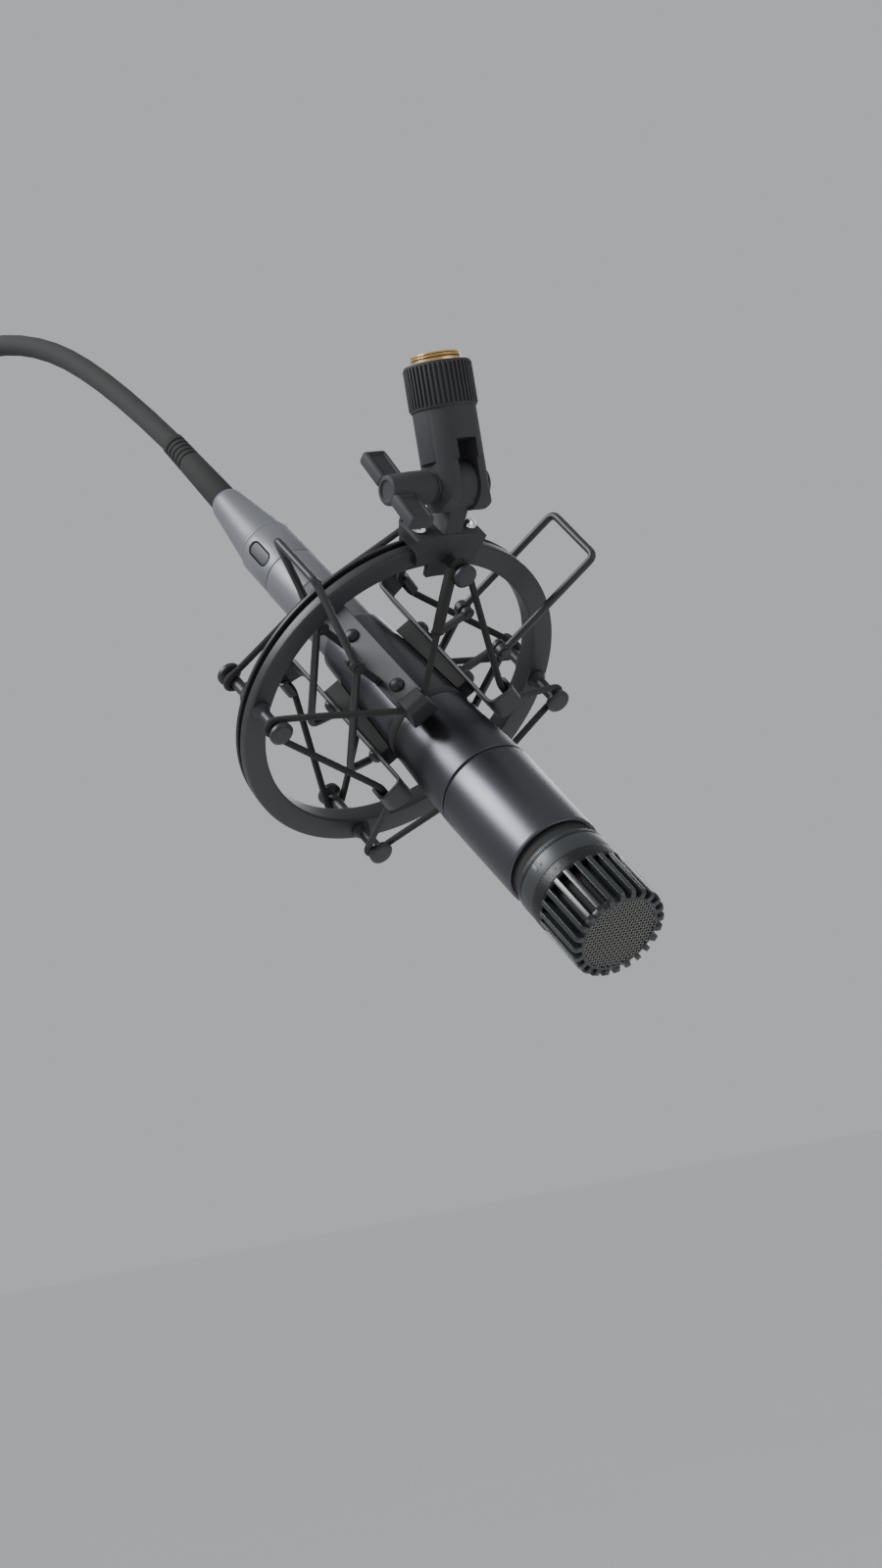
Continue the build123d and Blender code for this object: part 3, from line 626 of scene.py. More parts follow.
def dust_group():
    """Sparse pale specks, as dust leaves on a dark finish."""
    group = bpy.data.node_groups.new("Dust", "ShaderNodeTree")
    given, end = sockets(group, [("Vector", "Vector", None), ("Scale", "Float", 900.0), ("Amount", "Float",
                                                                                         0.5)],
                         [("Mask", "Float")])
    cells = add(group, "ShaderNodeTexVoronoi", {"Vector": given["Vector"], "Scale": given["Scale"]})
    chance = output(group, "ShaderNodeTexNoise",
                 {"Vector": given["Vector"], "Scale": 140.0, "Detail": 3.0})
    near = add(group, "ShaderNodeMapRange",
               {"Value": cells.outputs["Distance"], "From Min": 0.04, "From Max": 0.13, "To Min": 1.0,
                "To Max": 0.0})
    often = add(group, "ShaderNodeMapRange", {"Value": chance, "From Min": 0.55, "From Max": 0.75})
    both = calc(group, "MULTIPLY", near.outputs[0], often.outputs[0])
    mask = calc(group, "MULTIPLY", both, given["Amount"])
    feed(group, end, {"Mask": mask})
    return group


def braid_group():
    """Two sets of threads crossing round a cord or along a strap, from its UV map."""
    group = bpy.data.node_groups.new("Braid", "ShaderNodeTree")
    given, end = sockets(group, [
        ("Vector", "Vector", None), ("Step", "Float", 2.6), ("Threads", "Float", 6.0)],
        [("Height", "Float"), ("Mask", "Float")])
    place = add(group, "ShaderNodeSeparateXYZ", {0: given["Vector"]}).outputs
    along = calc(group, "DIVIDE", place["X"], given["Step"])
    around = calc(group, "MULTIPLY", place["Y"], given["Threads"])
    waves = []
    for kind in ("ADD", "SUBTRACT"):
        total = output(group, "ShaderNodeMath", {0: around, 1: along}, operation=kind)
        radians = calc(group, "MULTIPLY", total, 2 * math.pi)
        waves.append(calc(group, "SINE", radians))
    top = calc(group, "MAXIMUM", waves[0], waves[1])
    # The mask is high on the threads' crowns and low in the gaps; the braided finish paints shade and highlight
    # with it.
    mask = output(group, "ShaderNodeMapRange", {"Value": top, "From Min": -0.6, "From Max": 1.0})
    feed(group, end, {"Height": top, "Mask": mask})
    return group


def shared(name, maker, tree, **inputs):
    """A shader group placed in a material, built the first time it is asked for."""
    node = tree.nodes.new("ShaderNodeGroup")
    node.node_tree = bpy.data.node_groups.get(name) or maker()
    feed(tree, node, {label.replace("_", " "): value for label, value in inputs.items()})
    return node.outputs


# ---- materials ----
DUST = (0.32, 0.31, 0.30, 1.0)


def new_material(name):
    """An empty node material: its tree, Principled shader and Object coordinates."""
    made = bpy.data.materials.new(name)
    made.use_nodes = True
    tree = made.node_tree
    shader = tree.nodes["Principled BSDF"]
    return made, tree, shader, add(tree, "ShaderNodeTexCoord").outputs["Object"]


def mixed(tree, share, low, high):
    """A colour between two colours or sockets, by a mask."""
    node = add(tree, "ShaderNodeMix", {"Factor": share}, data_type="RGBA")
    ends = [i for i, socket in enumerate(node.inputs) if socket.type == "RGBA"]
    feed(tree, node, dict(zip(ends, (low, high))))
    return next(socket for socket in node.outputs if socket.type == "RGBA")


def shade(base, factor):
    """A base colour made lighter or darker."""
    return tuple(min(1.0, channel * factor) for channel in base) + (1.0,)


def coated(name, base, rough, grain, depth, spread=1.25, metallic=0.0, coat=0.0, dust=0.25, roundness=2.0,
           patch=60.0, specular=0.5):
    """Paint, plastic, rubber or metal: grain in relief, slow patches of shade and gloss, and a little dust."""
    made, tree, shader, place = new_material(name)
    out = shared("Fine grain", grain_group, tree, Vector=place, Scale=grain, Roundness=roundness,
                 Patch_scale=patch, Low=rough[0], High=rough[1])
    body = mixed(tree, out["Patches"], shade(base, 1 / spread), shade(base, spread))
    if dust:
        mask = shared("Dust", dust_group, tree, Vector=place, Amount=dust)["Mask"]
        body = mixed(tree, mask, body, DUST)
    bump = output(tree, "ShaderNodeBump", {"Height": out["Height"], "Distance": depth, "Strength": 1.0})
    feed(tree, shader, {"Base Color": body, "Roughness": out["Roughness"], "Normal": bump,
                "Metallic": metallic, "Coat Weight": coat, "Coat Roughness": 0.12, "Specular IOR Level": specular})
    return made


def granular(name, base):
    """The pebbled ring round the head, with painted shade in the pits between pebbles and painted highlight on
    their tops.
    """
    made, tree, shader, place = new_material(name)
    cells = add(tree, "ShaderNodeTexVoronoi", {"Vector": place, "Scale": 1500.0}, feature="SMOOTH_F1")
    noise = output(tree, "ShaderNodeTexNoise", {"Vector": place, "Scale": 2600.0, "Detail": 2.0})
    height = calc(tree, "SUBTRACT", cells.outputs["Distance"], noise)
    bump = output(tree, "ShaderNodeBump", {"Height": height, "Distance": 0.00005, "Strength": 0.8})
    share = output(tree, "ShaderNodeMapRange", {"Value": height, "From Min": -0.4, "From Max": 0.4})
    rough = output(tree, "ShaderNodeMapRange", {"Value": share, "To Min": 0.34, "To Max": 0.5})
    # Painted shade and highlight: the colour follows the relief, darker (0.8) in the pits and lighter (1.5) on the
    # tops.
    feed(tree, shader, {"Base Color": mixed(tree, share, shade(base, 0.8), shade(base, 1.5)),
                        "Roughness": rough,
                        "Normal": bump, "Specular IOR Level": 0.35})
    return made


def turned_metal(name, base, rough, rings, metallic=1.0, spread=1.2, coat=0.0):
    """Lathe-turned metal, with fine rings round the microphone's axis."""
    made, tree, shader, place = new_material(name)
    straight = output(tree, "ShaderNodeMapping", {"Vector": place, "Rotation": RING.inverted().to_euler()})
    stretched = output(tree, "ShaderNodeVectorMath", {0: straight, 1: (40.0, 40.0, rings)},
                       operation="MULTIPLY")
    lines = output(tree, "ShaderNodeTexNoise", {"Vector": stretched, "Scale": 1.0, "Detail": 3.0})
    out = shared("Fine grain", grain_group, tree, Vector=place, Scale=1200.0, Patch_scale=90.0, Low=rough[0],
                 High=rough[1])
    bump = output(tree, "ShaderNodeBump", {"Height": lines, "Distance": 0.00001, "Strength": 0.6})
    feed(tree, shader, {"Base Color": mixed(tree, lines, shade(base, 1 / spread), shade(base, spread)),
                        "Roughness": out["Roughness"], "Normal": bump, "Metallic": metallic,
                        "Coat Weight": coat})
    return made


def braided(name, base, step, threads):
    """Braided threads over rubber, from the piece's UV map; the colour is painted shade in the gaps between
    threads and painted highlight on their crowns.
    """
    made, tree, shader, place = new_material(name)
    uv = output(tree, "ShaderNodeUVMap", uv_map="along")
    out = shared("Braid", braid_group, tree, Vector=uv, Step=step, Threads=threads)
    fibre = output(tree, "ShaderNodeTexNoise", {"Vector": place, "Scale": 9000.0, "Detail": 2.0})
    height = calc(tree, "MULTIPLY_ADD", fibre, 0.35, out["Height"])
    bump = output(tree, "ShaderNodeBump", {"Height": height, "Distance": 0.00012, "Strength": 0.8})
    # Painted shade and highlight: darker (0.45) where the braid's relief is low, lighter (1.7) on the threads'
    # crowns.
    feed(tree, shader, {"Base Color": mixed(tree, out["Mask"], shade(base, 0.45), shade(base, 1.7)),
                        "Normal": bump, "Roughness": 0.78, "Sheen Weight": 0.35, "Sheen Roughness": 0.4})
    return made


def foam(name, base):
    """Open-cell foam behind the head's slots, with painted shade in its cell hollows."""
    made, tree, shader, place = new_material(name)
    cells = add(tree, "ShaderNodeTexVoronoi", {"Vector": place, "Scale": 2200.0}).outputs["Distance"]
    bump = output(tree, "ShaderNodeBump", {"Height": cells, "Distance": 0.0003, "Strength": 1.0})
    # Painted shade: darker (0.3) in the hollows of the cells, lighter (1.4) on the cell walls.
    feed(tree, shader, {"Base Color": mixed(tree, cells, shade(base, 0.3), shade(base, 1.4)), "Normal": bump,
                        "Roughness": 0.95, "Specular IOR Level": 0.1})
    return made


def finishes():
    """Every finish by name: how it is made and what from."""
    c = bpy.context.scene.mic_colours
    grey = (0.35, 0.35, 0.36)
    return {
        "enamel": lambda n: coated(n, c.enamel, (0.33, 0.43), 2600.0, 0.000008, 1.15, patch=35.0, dust=0.12,
                                   specular=0.4),
        "black_steel": lambda n: coated(n, c.steel, (0.32, 0.44), 3000.0, 0.00001, 1.2, coat=0.1, dust=0.2,
                                        specular=0.35),
        "black_plastic": lambda n: coated(n, c.plastic, (0.46, 0.60), 3200.0, 0.00003, 1.3, dust=0.25,
                                          specular=0.35),
        "cage": lambda n: coated(n, c.cage, (0.18, 0.28), 1500.0, 0.000004, 1.2, coat=0.2, dust=0.15),
        "pebbled": lambda n: granular(n, c.cage),
        "band": lambda n: coated(n, c.steel, (0.30, 0.40), 3000.0, 0.000008, 1.2, dust=0.1, specular=0.4),
        "rubber": lambda n: coated(n, c.rubber, (0.64, 0.80), 4200.0, 0.00002, 1.3, dust=0.3, specular=0.2),
        "cable": lambda n: coated(n, c.cable, (0.40, 0.52), 1800.0, 0.000015, 1.2, patch=25.0, dust=0.25,
                                  specular=0.35),
        "mesh": lambda n: coated(n, (0.060, 0.059, 0.057), (0.34, 0.5), 4000.0, 0.000004, 1.4, metallic=1.0,
                                 dust=0),
        "chrome": lambda n: coated(n, (0.72, 0.73, 0.75), (0.07, 0.14), 900.0, 0.000004, 1.06, metallic=1.0,
                                   dust=0),
        "plug_metal": lambda n: turned_metal(n, c.plug, (0.24, 0.36), 9000.0, 1.0, 1.15, 0.25),
        "brass": lambda n: turned_metal(n, c.brass, (0.26, 0.44), 7000.0, 1.0, 1.3),
        "contact": lambda n: turned_metal(n, (0.78, 0.60, 0.30), (0.2, 0.3), 5000.0),
        "inner_metal": lambda n: turned_metal(n, grey, (0.3, 0.45), 6000.0),
        "winding": lambda n: turned_metal(n, (0.45, 0.19, 0.08), (0.3, 0.4), 12000.0, 1.0, 1.6),
        "insert": lambda n: coated(n, (0.028, 0.028, 0.03), (0.42, 0.52), 2400.0, 0.00002, dust=0.1),
        "foam": lambda n: foam(n, (0.006, 0.006, 0.0063)),
        "elastic": lambda n: braided(n, c.braid, sizes(bpy.context.scene.mic_elastic).braid, 6.0),
        "strap": lambda n: braided(n, c.rubber, 1.6, 9.0),
        "ticks": lambda n: coated(n, (0.16, 0.16, 0.165), (0.35, 0.45), 3000.0, 0.00001, 1.1, dust=0),
    }


def material(name):
    """A finish, made the first time it is asked for."""
    return bpy.data.materials.get(name) or finishes()[name](name)


# ---- stage ----
def area_light(name, place, aim, power, size, tint=(1, 1, 1)):
    """A soft square light at a place, turned to what it lights."""
    light = bpy.data.lights.new(name, "AREA")
    light.energy, light.size, light.color = power, size, tint
    obj = placed(name, light)
    obj.location = place
    obj.rotation_mode = "QUATERNION"
    obj.rotation_quaternion = (Vector(place) - Vector(aim)).to_track_quat("Z", "Y")


class MIC_OT_stage(bpy.types.Operator):
    """Sets the camera, the floor and the soft lights"""
    bl_idname = "mic.stage"
    bl_label = "Stage"

    def execute(self, context):
        s = context.scene.mic_stage
        aim, turn, rise = Vector(s.aim), s.azimuth, s.elevation
        away = Vector((math.sin(turn) * math.cos(rise), -math.cos(turn) * math.cos(rise), math.sin(rise)))
        level = Vector((math.cos(turn), math.sin(turn), 0))
        upright = away.cross(level)
        right = level * math.cos(s.roll) - upright * math.sin(s.roll)
        lens = bpy.data.cameras.new("camera")
        lens.lens, lens.sensor_fit, lens.sensor_height, lens.sensor_width = s.lens, "VERTICAL", 36, 36
        lens.clip_start, lens.clip_end = 0.05, 100
        camera = placed("camera", lens)
        camera.matrix_world = (Matrix.Translation(aim + away * s.distance)
                               @ Matrix((right, away.cross(right), away)).transposed().to_4x4())
        context.scene.camera = camera

        half, low = s.floor_size / 2, -s.floor_drop
        plane = bpy.data.meshes.new("floor")
        plane.from_pydata([(-half, -half, low), (half, -half, low), (half, half, low), (-half, half, low)],
                          [],
                          [(0, 1, 2, 3)])
        made, tree, shader, place = new_material("floor")
        cloud = output(tree, "ShaderNodeTexNoise", {"Vector": place, "Scale": 3.0, "Detail": 3.0})
        feed(tree, shader, {"Base Color": mixed(tree, cloud, (0.915, 0.915, 0.92, 1), (0.94, 0.94, 0.945, 1)),
                            "Roughness": 0.9})
        plane.materials.append(made)
        placed("floor", plane)

        world = bpy.data.worlds.new("studio")
        world.use_nodes = True
        world.node_tree.nodes["Background"].inputs["Color"].default_value = (0.72, 0.73, 0.75, 1)
        world.node_tree.nodes["Background"].inputs["Strength"].default_value = 0.66
        context.scene.world = world
        area_light("key", (-0.9, 0.5, 0.9), (0, 0.05, -0.1), 24, 0.6, (0.97, 0.98, 1))
        area_light("fill", (0.6, -1.5, 0.3), (0, 0, -0.12), 6, 1.2)
        area_light("rim", (1.0, 0.9, 0.2), (0, 0, -0.12), 3, 0.6, (0.95, 0.97, 1))
        return {"FINISHED"}


# ---- cable ----
# The route in the row frame, in metres, from the sleeve to the first stored turn.
EXIT = (RING @ Vector((0, 0, -0.1456)))[:]
COIL_CENTRE = Vector((-0.062, 0.282, -0.080))
CORD_ROUTE = [
    EXIT,
    (-0.003, 0.188, 0.0305),
    (-0.011, 0.222, 0.052),
    (-0.025, 0.255, 0.054),
    (-0.042, 0.277, 0.036),
    (-0.0535, 0.2845, 0.014),
    (-0.060, 0.285, -0.007),
    (-0.062, 0.2915, -0.0282),
]
TAIL = Vector((-0.068, 0.3286, -0.146))    # where the cable enters the plug at its far end
# The stored turns, as (steps out from the middle turn, steps to the side). The middle place stays empty.
TURN_PLACES = ((1, 0), (1, 1), (0, 1), (-1, 1), (-1, 0), (-1, -1), (0, -1), (1, -1))
MIDDLE_TURN = 0.0405
TURN_POINTS = 16
SHIFT = 0.14               # share of a turn that the cable takes to move to the next place
FIRST_ANGLE, LAST_ANGLE = 79.6, -15.0
FULL_TURNS = 6
SPLINE_SHRINK = 0.5 + 0.5 * math.cos(2 * math.pi / TURN_POINTS / math.sqrt(2))


def turn_place(turns, gap):
    """Distance from the coil's axis and place along it, after so many turns."""
    radius, side = TURN_PLACES[0]
    start = 0.1
    for k, (next_radius, next_side) in enumerate(TURN_PLACES[1:]):
        share = min(max((turns - start) / SHIFT, 0.0), 1.0)
        share = share * share * (3 - 2 * share)
        radius += (next_radius - TURN_PLACES[k][0]) * share
        side += (next_side - TURN_PLACES[k][1]) * share
        # A move that turns a corner starts earlier than a turn after the last, so that it clears it.
        corner = k in (0, 2, 4)
        start += 1.0 - (SHIFT if corner else 0.0)
    return MIDDLE_TURN + radius * gap, side * gap


def coil_points(gap):
    """The stored turns, wound clockwise as seen from +x."""
    total = FULL_TURNS + (FIRST_ANGLE - LAST_ANGLE) / 360
    count = round(total * TURN_POINTS)
    points = []
    for k in range(1, count + 1):
        turns = total * k / count
        radius, side = turn_place(turns, gap)
        at = math.radians(FIRST_ANGLE - 360 * turns)
        out = radius / SPLINE_SHRINK
        points.append(COIL_CENTRE + Vector((side, out * math.cos(at), out * math.sin(at))))
    return points


class MIC_OT_cable(bpy.types.Operator):
    """Lays the cable from its sleeve through the stored turns to the far plug"""
    bl_idname = "mic.cable"
    bl_label = "Cable"

    def execute(self, context):
        s = context.scene.mic_cable
        gap = s.turn_gap
        tail = [TAIL + Vector((0, 0, rise)) for rise in (0.038, 0.018, 0, -0.016)]
        route = [Vector(p) for p in CORD_ROUTE] + coil_points(gap) + tail
        curve = bpy.data.curves.new("cable", "CURVE")
        curve.dimensions = "3D"
        curve.bevel_depth, curve.bevel_resolution, curve.use_fill_caps = s.diameter / 2, 6, True
        spline = curve.splines.new("NURBS")
        spline.points.add(len(route) - 1)
        for point, place in zip(spline.points, route):
            point.co = (*place, 1)
        spline.order_u = 3
        spline.use_endpoint_u = True
        spline.resolution_u = 5
        curve.materials.append(material("cable"))
        cable = placed("cable", curve)
        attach(cable, "clip")
        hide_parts("cord_run", "cord_coil", "cord_tail")

        pieces = [self.sleeve(), self.tie(), *self.far_plug()]
        return {"FINISHED"}

    def sleeve(self):
        """The tapered strain relief, with a few rings cut round its end."""
        first, last = back(241), back(277)
        corners = [(4.25, first + 8), (3.62, first + 8), (3.62, last), (3.95, last, 0.4)]
        for k in range(5):
            z = last + 2.4 + 2.2 * k
            r = 3.97 + 0.02 * k * 2.2
            corners += [(r, z), (r - 0.35, z + 0.25), (r - 0.35, z + 0.75), (r + 0.02, z + 1.0)]
        corners += [(4.7, first), (4.25, first)]
        return piece("strain_relief_sleeve", lathe(corners, 0.12, 64, 2), "clip", "rubber", "strain_relief")

    def tie(self):
        """A woven strap round the turns, with its end lapped over."""
        inner = 12.7
        path = [(inner, -3), (inner, inner), (-inner, inner), (-inner, -inner), (inner, -inner), (inner, 1.5),
                (inner + 0.7, 7)]
        rounded = filleted([(x, 0, y) for x, y in path], [4.0] * (len(path) - 2), 6)
        bm = bmesh.new()
        uv = bm.loops.layers.uv.new("along")
        rows, places, along = [], [], 0.0
        for i, point in enumerate(rounded):
            tangent = (rounded[min(i + 1, len(rounded) - 1)] - rounded[max(i - 1, 0)]).normalized()
            normal = Vector((tangent.z, 0, -tangent.x))
            along += (point - rounded[i - 1]).length if i else 0.0
            places.append(along)
            rows.append([bm.verts.new(point + normal * out + Vector((0, across, 0))) for out, across in
                         ((-0.55, -3.9), (-0.55, 3.9), (0.55, 3.9), (0.55, -3.9))])
        faced_out(skinned(bm, rows, uv, places, 2))
        bevelled(bm, [e for e in bm.edges if e.calc_face_angle(0) > 1], 0.2, 2)
        # The coil's frame: x along the row's y, y along its z, z along its x.
        coil = Matrix.Translation(COIL_CENTRE) @ Matrix(((0, 0, 1), (1, 0, 0), (0, 1, 0))).to_4x4()
        place = coil @ Matrix.Rotation(math.radians(20), 4, "Z") @ Matrix.Translation((MIDDLE_TURN, 0, 0))
        return piece("cable_tie", bm, "clip", "elastic", "cord_tie", finish="strap", place=place)

    def far_plug(self):
        """The line plug at the cable's end, nose down."""
        place = Matrix.Translation(TAIL)
        shell = lathe([(8.8, -19.1), (8.8, -20), (9.5, -21), (9.5, -41), (9.25, -41.3), (9.25, -42), (9.5,
                                                                                                      -42.3),
                       (9.5, -62, 0.5), (8.0, -62), (8.0, -44), (6.5, -44), (6.5, -19.1)], 0.25, 96)
        ridges = repeated(block((-0.5, 8.9, -38), (0.5, 9.62, -26), 0.2, 2), "plug_metal", turns=30, turn=12)
        bushing = lathe([(3.62, -0.2), (4.7, 0, 0.5), (5.6, -4), (5.2, -4.6), (5.2, -5.4), (6.1, -6), (6.7,
                                                                                                       -9),
                         (6.3, -9.6), (6.3, -10.4), (7.2, -11), (8.3, -18.8, 0.6), (6.3, -19), (6.3, -24),
                         (3.62, -24)], 0.2, 64)
        insert = lathe([(0, -44.1), (7.9, -44.1), (7.9, -48, 0.5), (0, -48)], 0.2, 48)
        pins = [slid(lathe([(0, -48), (1.2, -48), (1.2, -58.4, 0.7), (0, -59)], 0.1, 24),
                     3.6 * math.sin(a), 3.6 * math.cos(a), 0)
                for a in map(math.radians, (45, 180, 315))]
        return [
            piece("far_plug_shell_shown", joined(shell, from_mesh(ridges)), "clip", "plug_metal",
                  "far_plug_shell", place=place),
            piece("far_plug_bushing_shown", bushing, "clip", "rubber", "far_plug_bushing", place=place),
            piece("far_plug_insert", insert, "clip", "insert", "far_plug_contacts", place=place),
            piece("far_plug_pins", joined(*pins), "clip", "contact", place=place),
        ]


# ---- stem ----
class MIC_OT_stem(bpy.types.Operator):
    """Makes the brass adapter, plastic stem, knurled collar and pivot bolt"""
    bl_idname = "mic.stem"
    bl_label = "Stem"

    def execute(self, context):
        s = sizes(context.scene.mic_stem)
        bore = [(s.adapter_radius, -s.adapter_length), (s.adapter_radius, -2.6)]
        for k in range(2):
            z = -2.3 + 0.94 * k
            bore += [(s.adapter_radius, z, 0.05), (s.adapter_radius - 0.5, z + 0.47, 0.05)]
        bore += [(s.adapter_radius, -0.42, 0.2), (s.adapter_radius - 0.4, 0), (s.thread_radius + 0.6, 0)]
        turns = int(14 / s.thread_pitch)
        for k in range(turns):
            z = -0.7 - s.thread_pitch * k
            bore += [(s.thread_radius, z, 0.05), (s.thread_radius + 0.75, z - s.thread_pitch / 2, 0.05)]
        bore += [(s.thread_radius, -15), (0, -15), (0, -s.adapter_length)]
        piece("brass_adapter", lathe(bore, 0.12, 96, 2), "stem", "brass", "thread_adapter", place=ROW)
        kept_shape("stem_shell", "stem_body", "stem", "black_plastic", 0.55)
        self.collar(s)
        self.bolt(s)
        return {"FINISHED"}

    def collar(self, s):
        """The knurled collar: a sleeve with rounded ribs and a plain lip at each end."""
        top, low = -s.collar_top, -s.collar_top - s.collar_length
        core = s.collar_radius - 0.65
        sleeve = lathe([(8.1, top), (s.collar_radius - 0.35, top, 0.5), (s.collar_radius - 0.35, top - 0.9),
                        (core, top - 1.1), (core, low + 1.1), (s.collar_radius - 0.35, low + 0.9),
                        (s.collar_radius - 0.35, low, 0.5), (9.0, low)], 0.15, 132)
        rib = block((-0.42, core - 0.4, low + 0.7), (0.42, s.collar_radius, top - 0.7), 0.3)
        ribs = repeated(rib, "black_plastic", turns=s.collar_ribs, turn=360 / s.collar_ribs)
        piece("collar", joined(sleeve, from_mesh(ribs)), "stem", "black_plastic",
              "knurled_collar", place=ROW)

    def bolt(self, s):
        """The pivot bolt with its domed round head and a washer on each side."""
        face, end = s.ear_face, s.ear_face + 0.9
        shank = lathe([(0, -19.8), (2.9, -19.8, 0.4), (2.9, end), (0, end)], 0.2, 48)
        head = lathe([(0, face + 0.8), (4.2, face + 0.8, 0.3), (4.0, face + 1.3, 0.4), (3.2, face + 1.8, 0.6),
                      (1.6, face + 1.8, 0.2), (1.6, face + 1.2), (0, face + 1.2)], 0.2, 48)
        piece("bolt", joined(shank, head), "stem", "black_steel", "pivot_bolt", place=PIVOT_FRAME)
        outline = [(3.1, 0), (4.9, 0, 0.25), (4.9, 0.8, 0.25), (3.1, 0.8)]
        sides = [slid(lathe(outline, 0.1, 64), 0, 0, z) for z in (face, -face - 0.8)]
        piece("washers", joined(*sides), "stem", "black_plastic", "pivot_washers", place=PIVOT_FRAME)


class MIC_OT_wing(bpy.types.Operator):
    """Makes the wing screw, with a flared hub and two dished blades"""
    bl_idname = "mic.wing"
    bl_label = "Wing screw"

    def execute(self, context):
        s = sizes(context.scene.mic_wing)
        r = s.hub_radius
        hub = lathe([(0, -s.start), (r - 0.4, -s.start, 0.4), (r, -s.start - 1.5, 0.5), (r, -s.end + 9, 0.8),
                     (r - 0.6, -s.end, 1.2), (3.2, -s.end - 0.2), (3.0, -s.end + 0.4, 0.2), (0,
                    -s.end + 0.4)], 0.3, 64)
        blades = [self.blade(s, side) for side in (-1, 1)]
        turn = Matrix.Rotation(math.radians(-40), 4, "Z")
        piece("wing", moved(joined(hub, *blades), turn), "wing", "black_plastic", "wing_screw",
              place=PIVOT_FRAME)
        return {"FINISHED"}

    def blade(self, s, side):
        """One blade, thicker at its rim than inside it."""
        low, high = sorted((side * 3.6, side * s.reach))
        half = s.blade_thickness / 2
        body = block((low, -half, -s.end - 0.4), (high, half, -s.end - 0.4 + s.blade_width), 1.25, 4)
        for face_side in (-1, 1):
            faces = [f for f in body.faces if f.normal.y * face_side > 0.99 and f.calc_area() > 20]
            bmesh.ops.inset_region(body, faces=faces, thickness=0.7, depth=0)
            dish = {v for f in faces for v in f.verts}
            bmesh.ops.translate(body, vec=(0, -0.5 * face_side, 0), verts=list(dish))
        return faced_out(body)


# ---- ring ----
class MIC_OT_ring(bpy.types.Operator):
    """Makes the shock ring with its groove, the posts, the tongue and the saddle screws"""
    bl_idname = "mic.ring"
    bl_label = "Ring and tongue"

    def execute(self, context):
        s = sizes(context.scene.mic_ring)
        floor = s.radius - s.groove_depth
        profile = [(s.bore, -s.half_width, 0.7), (s.radius - 0.3, -s.half_width, 0.5), (s.radius - 0.3, -2.2),
                   (floor, -2.2), (floor, 0), (s.radius, 0), (s.radius, s.half_width, 0.7), (s.bore,
                                                                                             s.half_width, 0.7)]
        piece("ring", lathe(profile, 0.35, 192), "yoke", "black_steel", "shock_ring")
        self.posts(s)
        kept_shape("tongue", "swivel_tongue", "yoke", "black_plastic", 0.5)
        screw = lathe([(0, 2.35, 2.0), (1.2, 2.25, 1.0), (2.3, 1.3, 1.0), (2.65, 0.1, 0.2), (1.5, 0), (1.5,
                                                                                                       -7.5),
                       (0, -7.5)], 0.15, 48, 4)
        upright = moved(screw, Matrix.Translation((0, 60.45, 0)) @ Matrix.Rotation(math.radians(-90), 4, "X"))
        screws = repeated(upright, "chrome", turns=2, first=-8.6, turn=17.2)
        piece("saddle_screws_shown", screws, "yoke", "chrome", "saddle_screws")
        return {"FINISHED"}

    def posts(self, s):
        """Posts with flared feet and round heads, in front of the ring and behind it."""
        root, end = s.half_width - 0.2, s.post_end
        corners = [(0, root), (s.post_radius + 1.3, root), (s.post_radius + 1.1, root + 0.8, 0.8),
                   (s.post_radius, root + 3.0, 2.0), (s.post_radius, end - 2.8, 0.8), (s.post_head, end - 2.0,
                                                                                       0.5),
                   (s.post_head, end - 0.6, 0.5), (s.post_head - 0.9, end, 0.8), (0, end)]
        pair = [lathe(corners, 0.3, 48, 4), moved(lathe(corners, 0.3, 48, 4), Matrix.Diagonal((1, 1, -1, 1)))]
        upright = slid(joined(*pair), 0, s.post_circle, 0)
        posts = repeated(upright, "black_steel", turns=s.posts, turn=360 / s.posts)
        piece("posts", posts, "yoke", "black_plastic", "ring_posts", finish="black_steel")


# ---- clip ----
PLATES = {"upper_left": -45, "upper_right": 45, "lower_left": -135, "lower_right": 135}
PLATE_BODY = {"upper_left": "clip", "upper_right": "clip", "lower_left": "lever_left",
              "lower_right": "lever_right"}
HANDLE_ROUTE = ((11.6, -17.4), (18.6, -20.4), (27.5, 19.0), (52.0, 52.3))
HANDLE_BENDS = (2.0, 3.0, 2.6, 2.6, 3.0, 2.0)
HINGE = (27.5, 19.0)


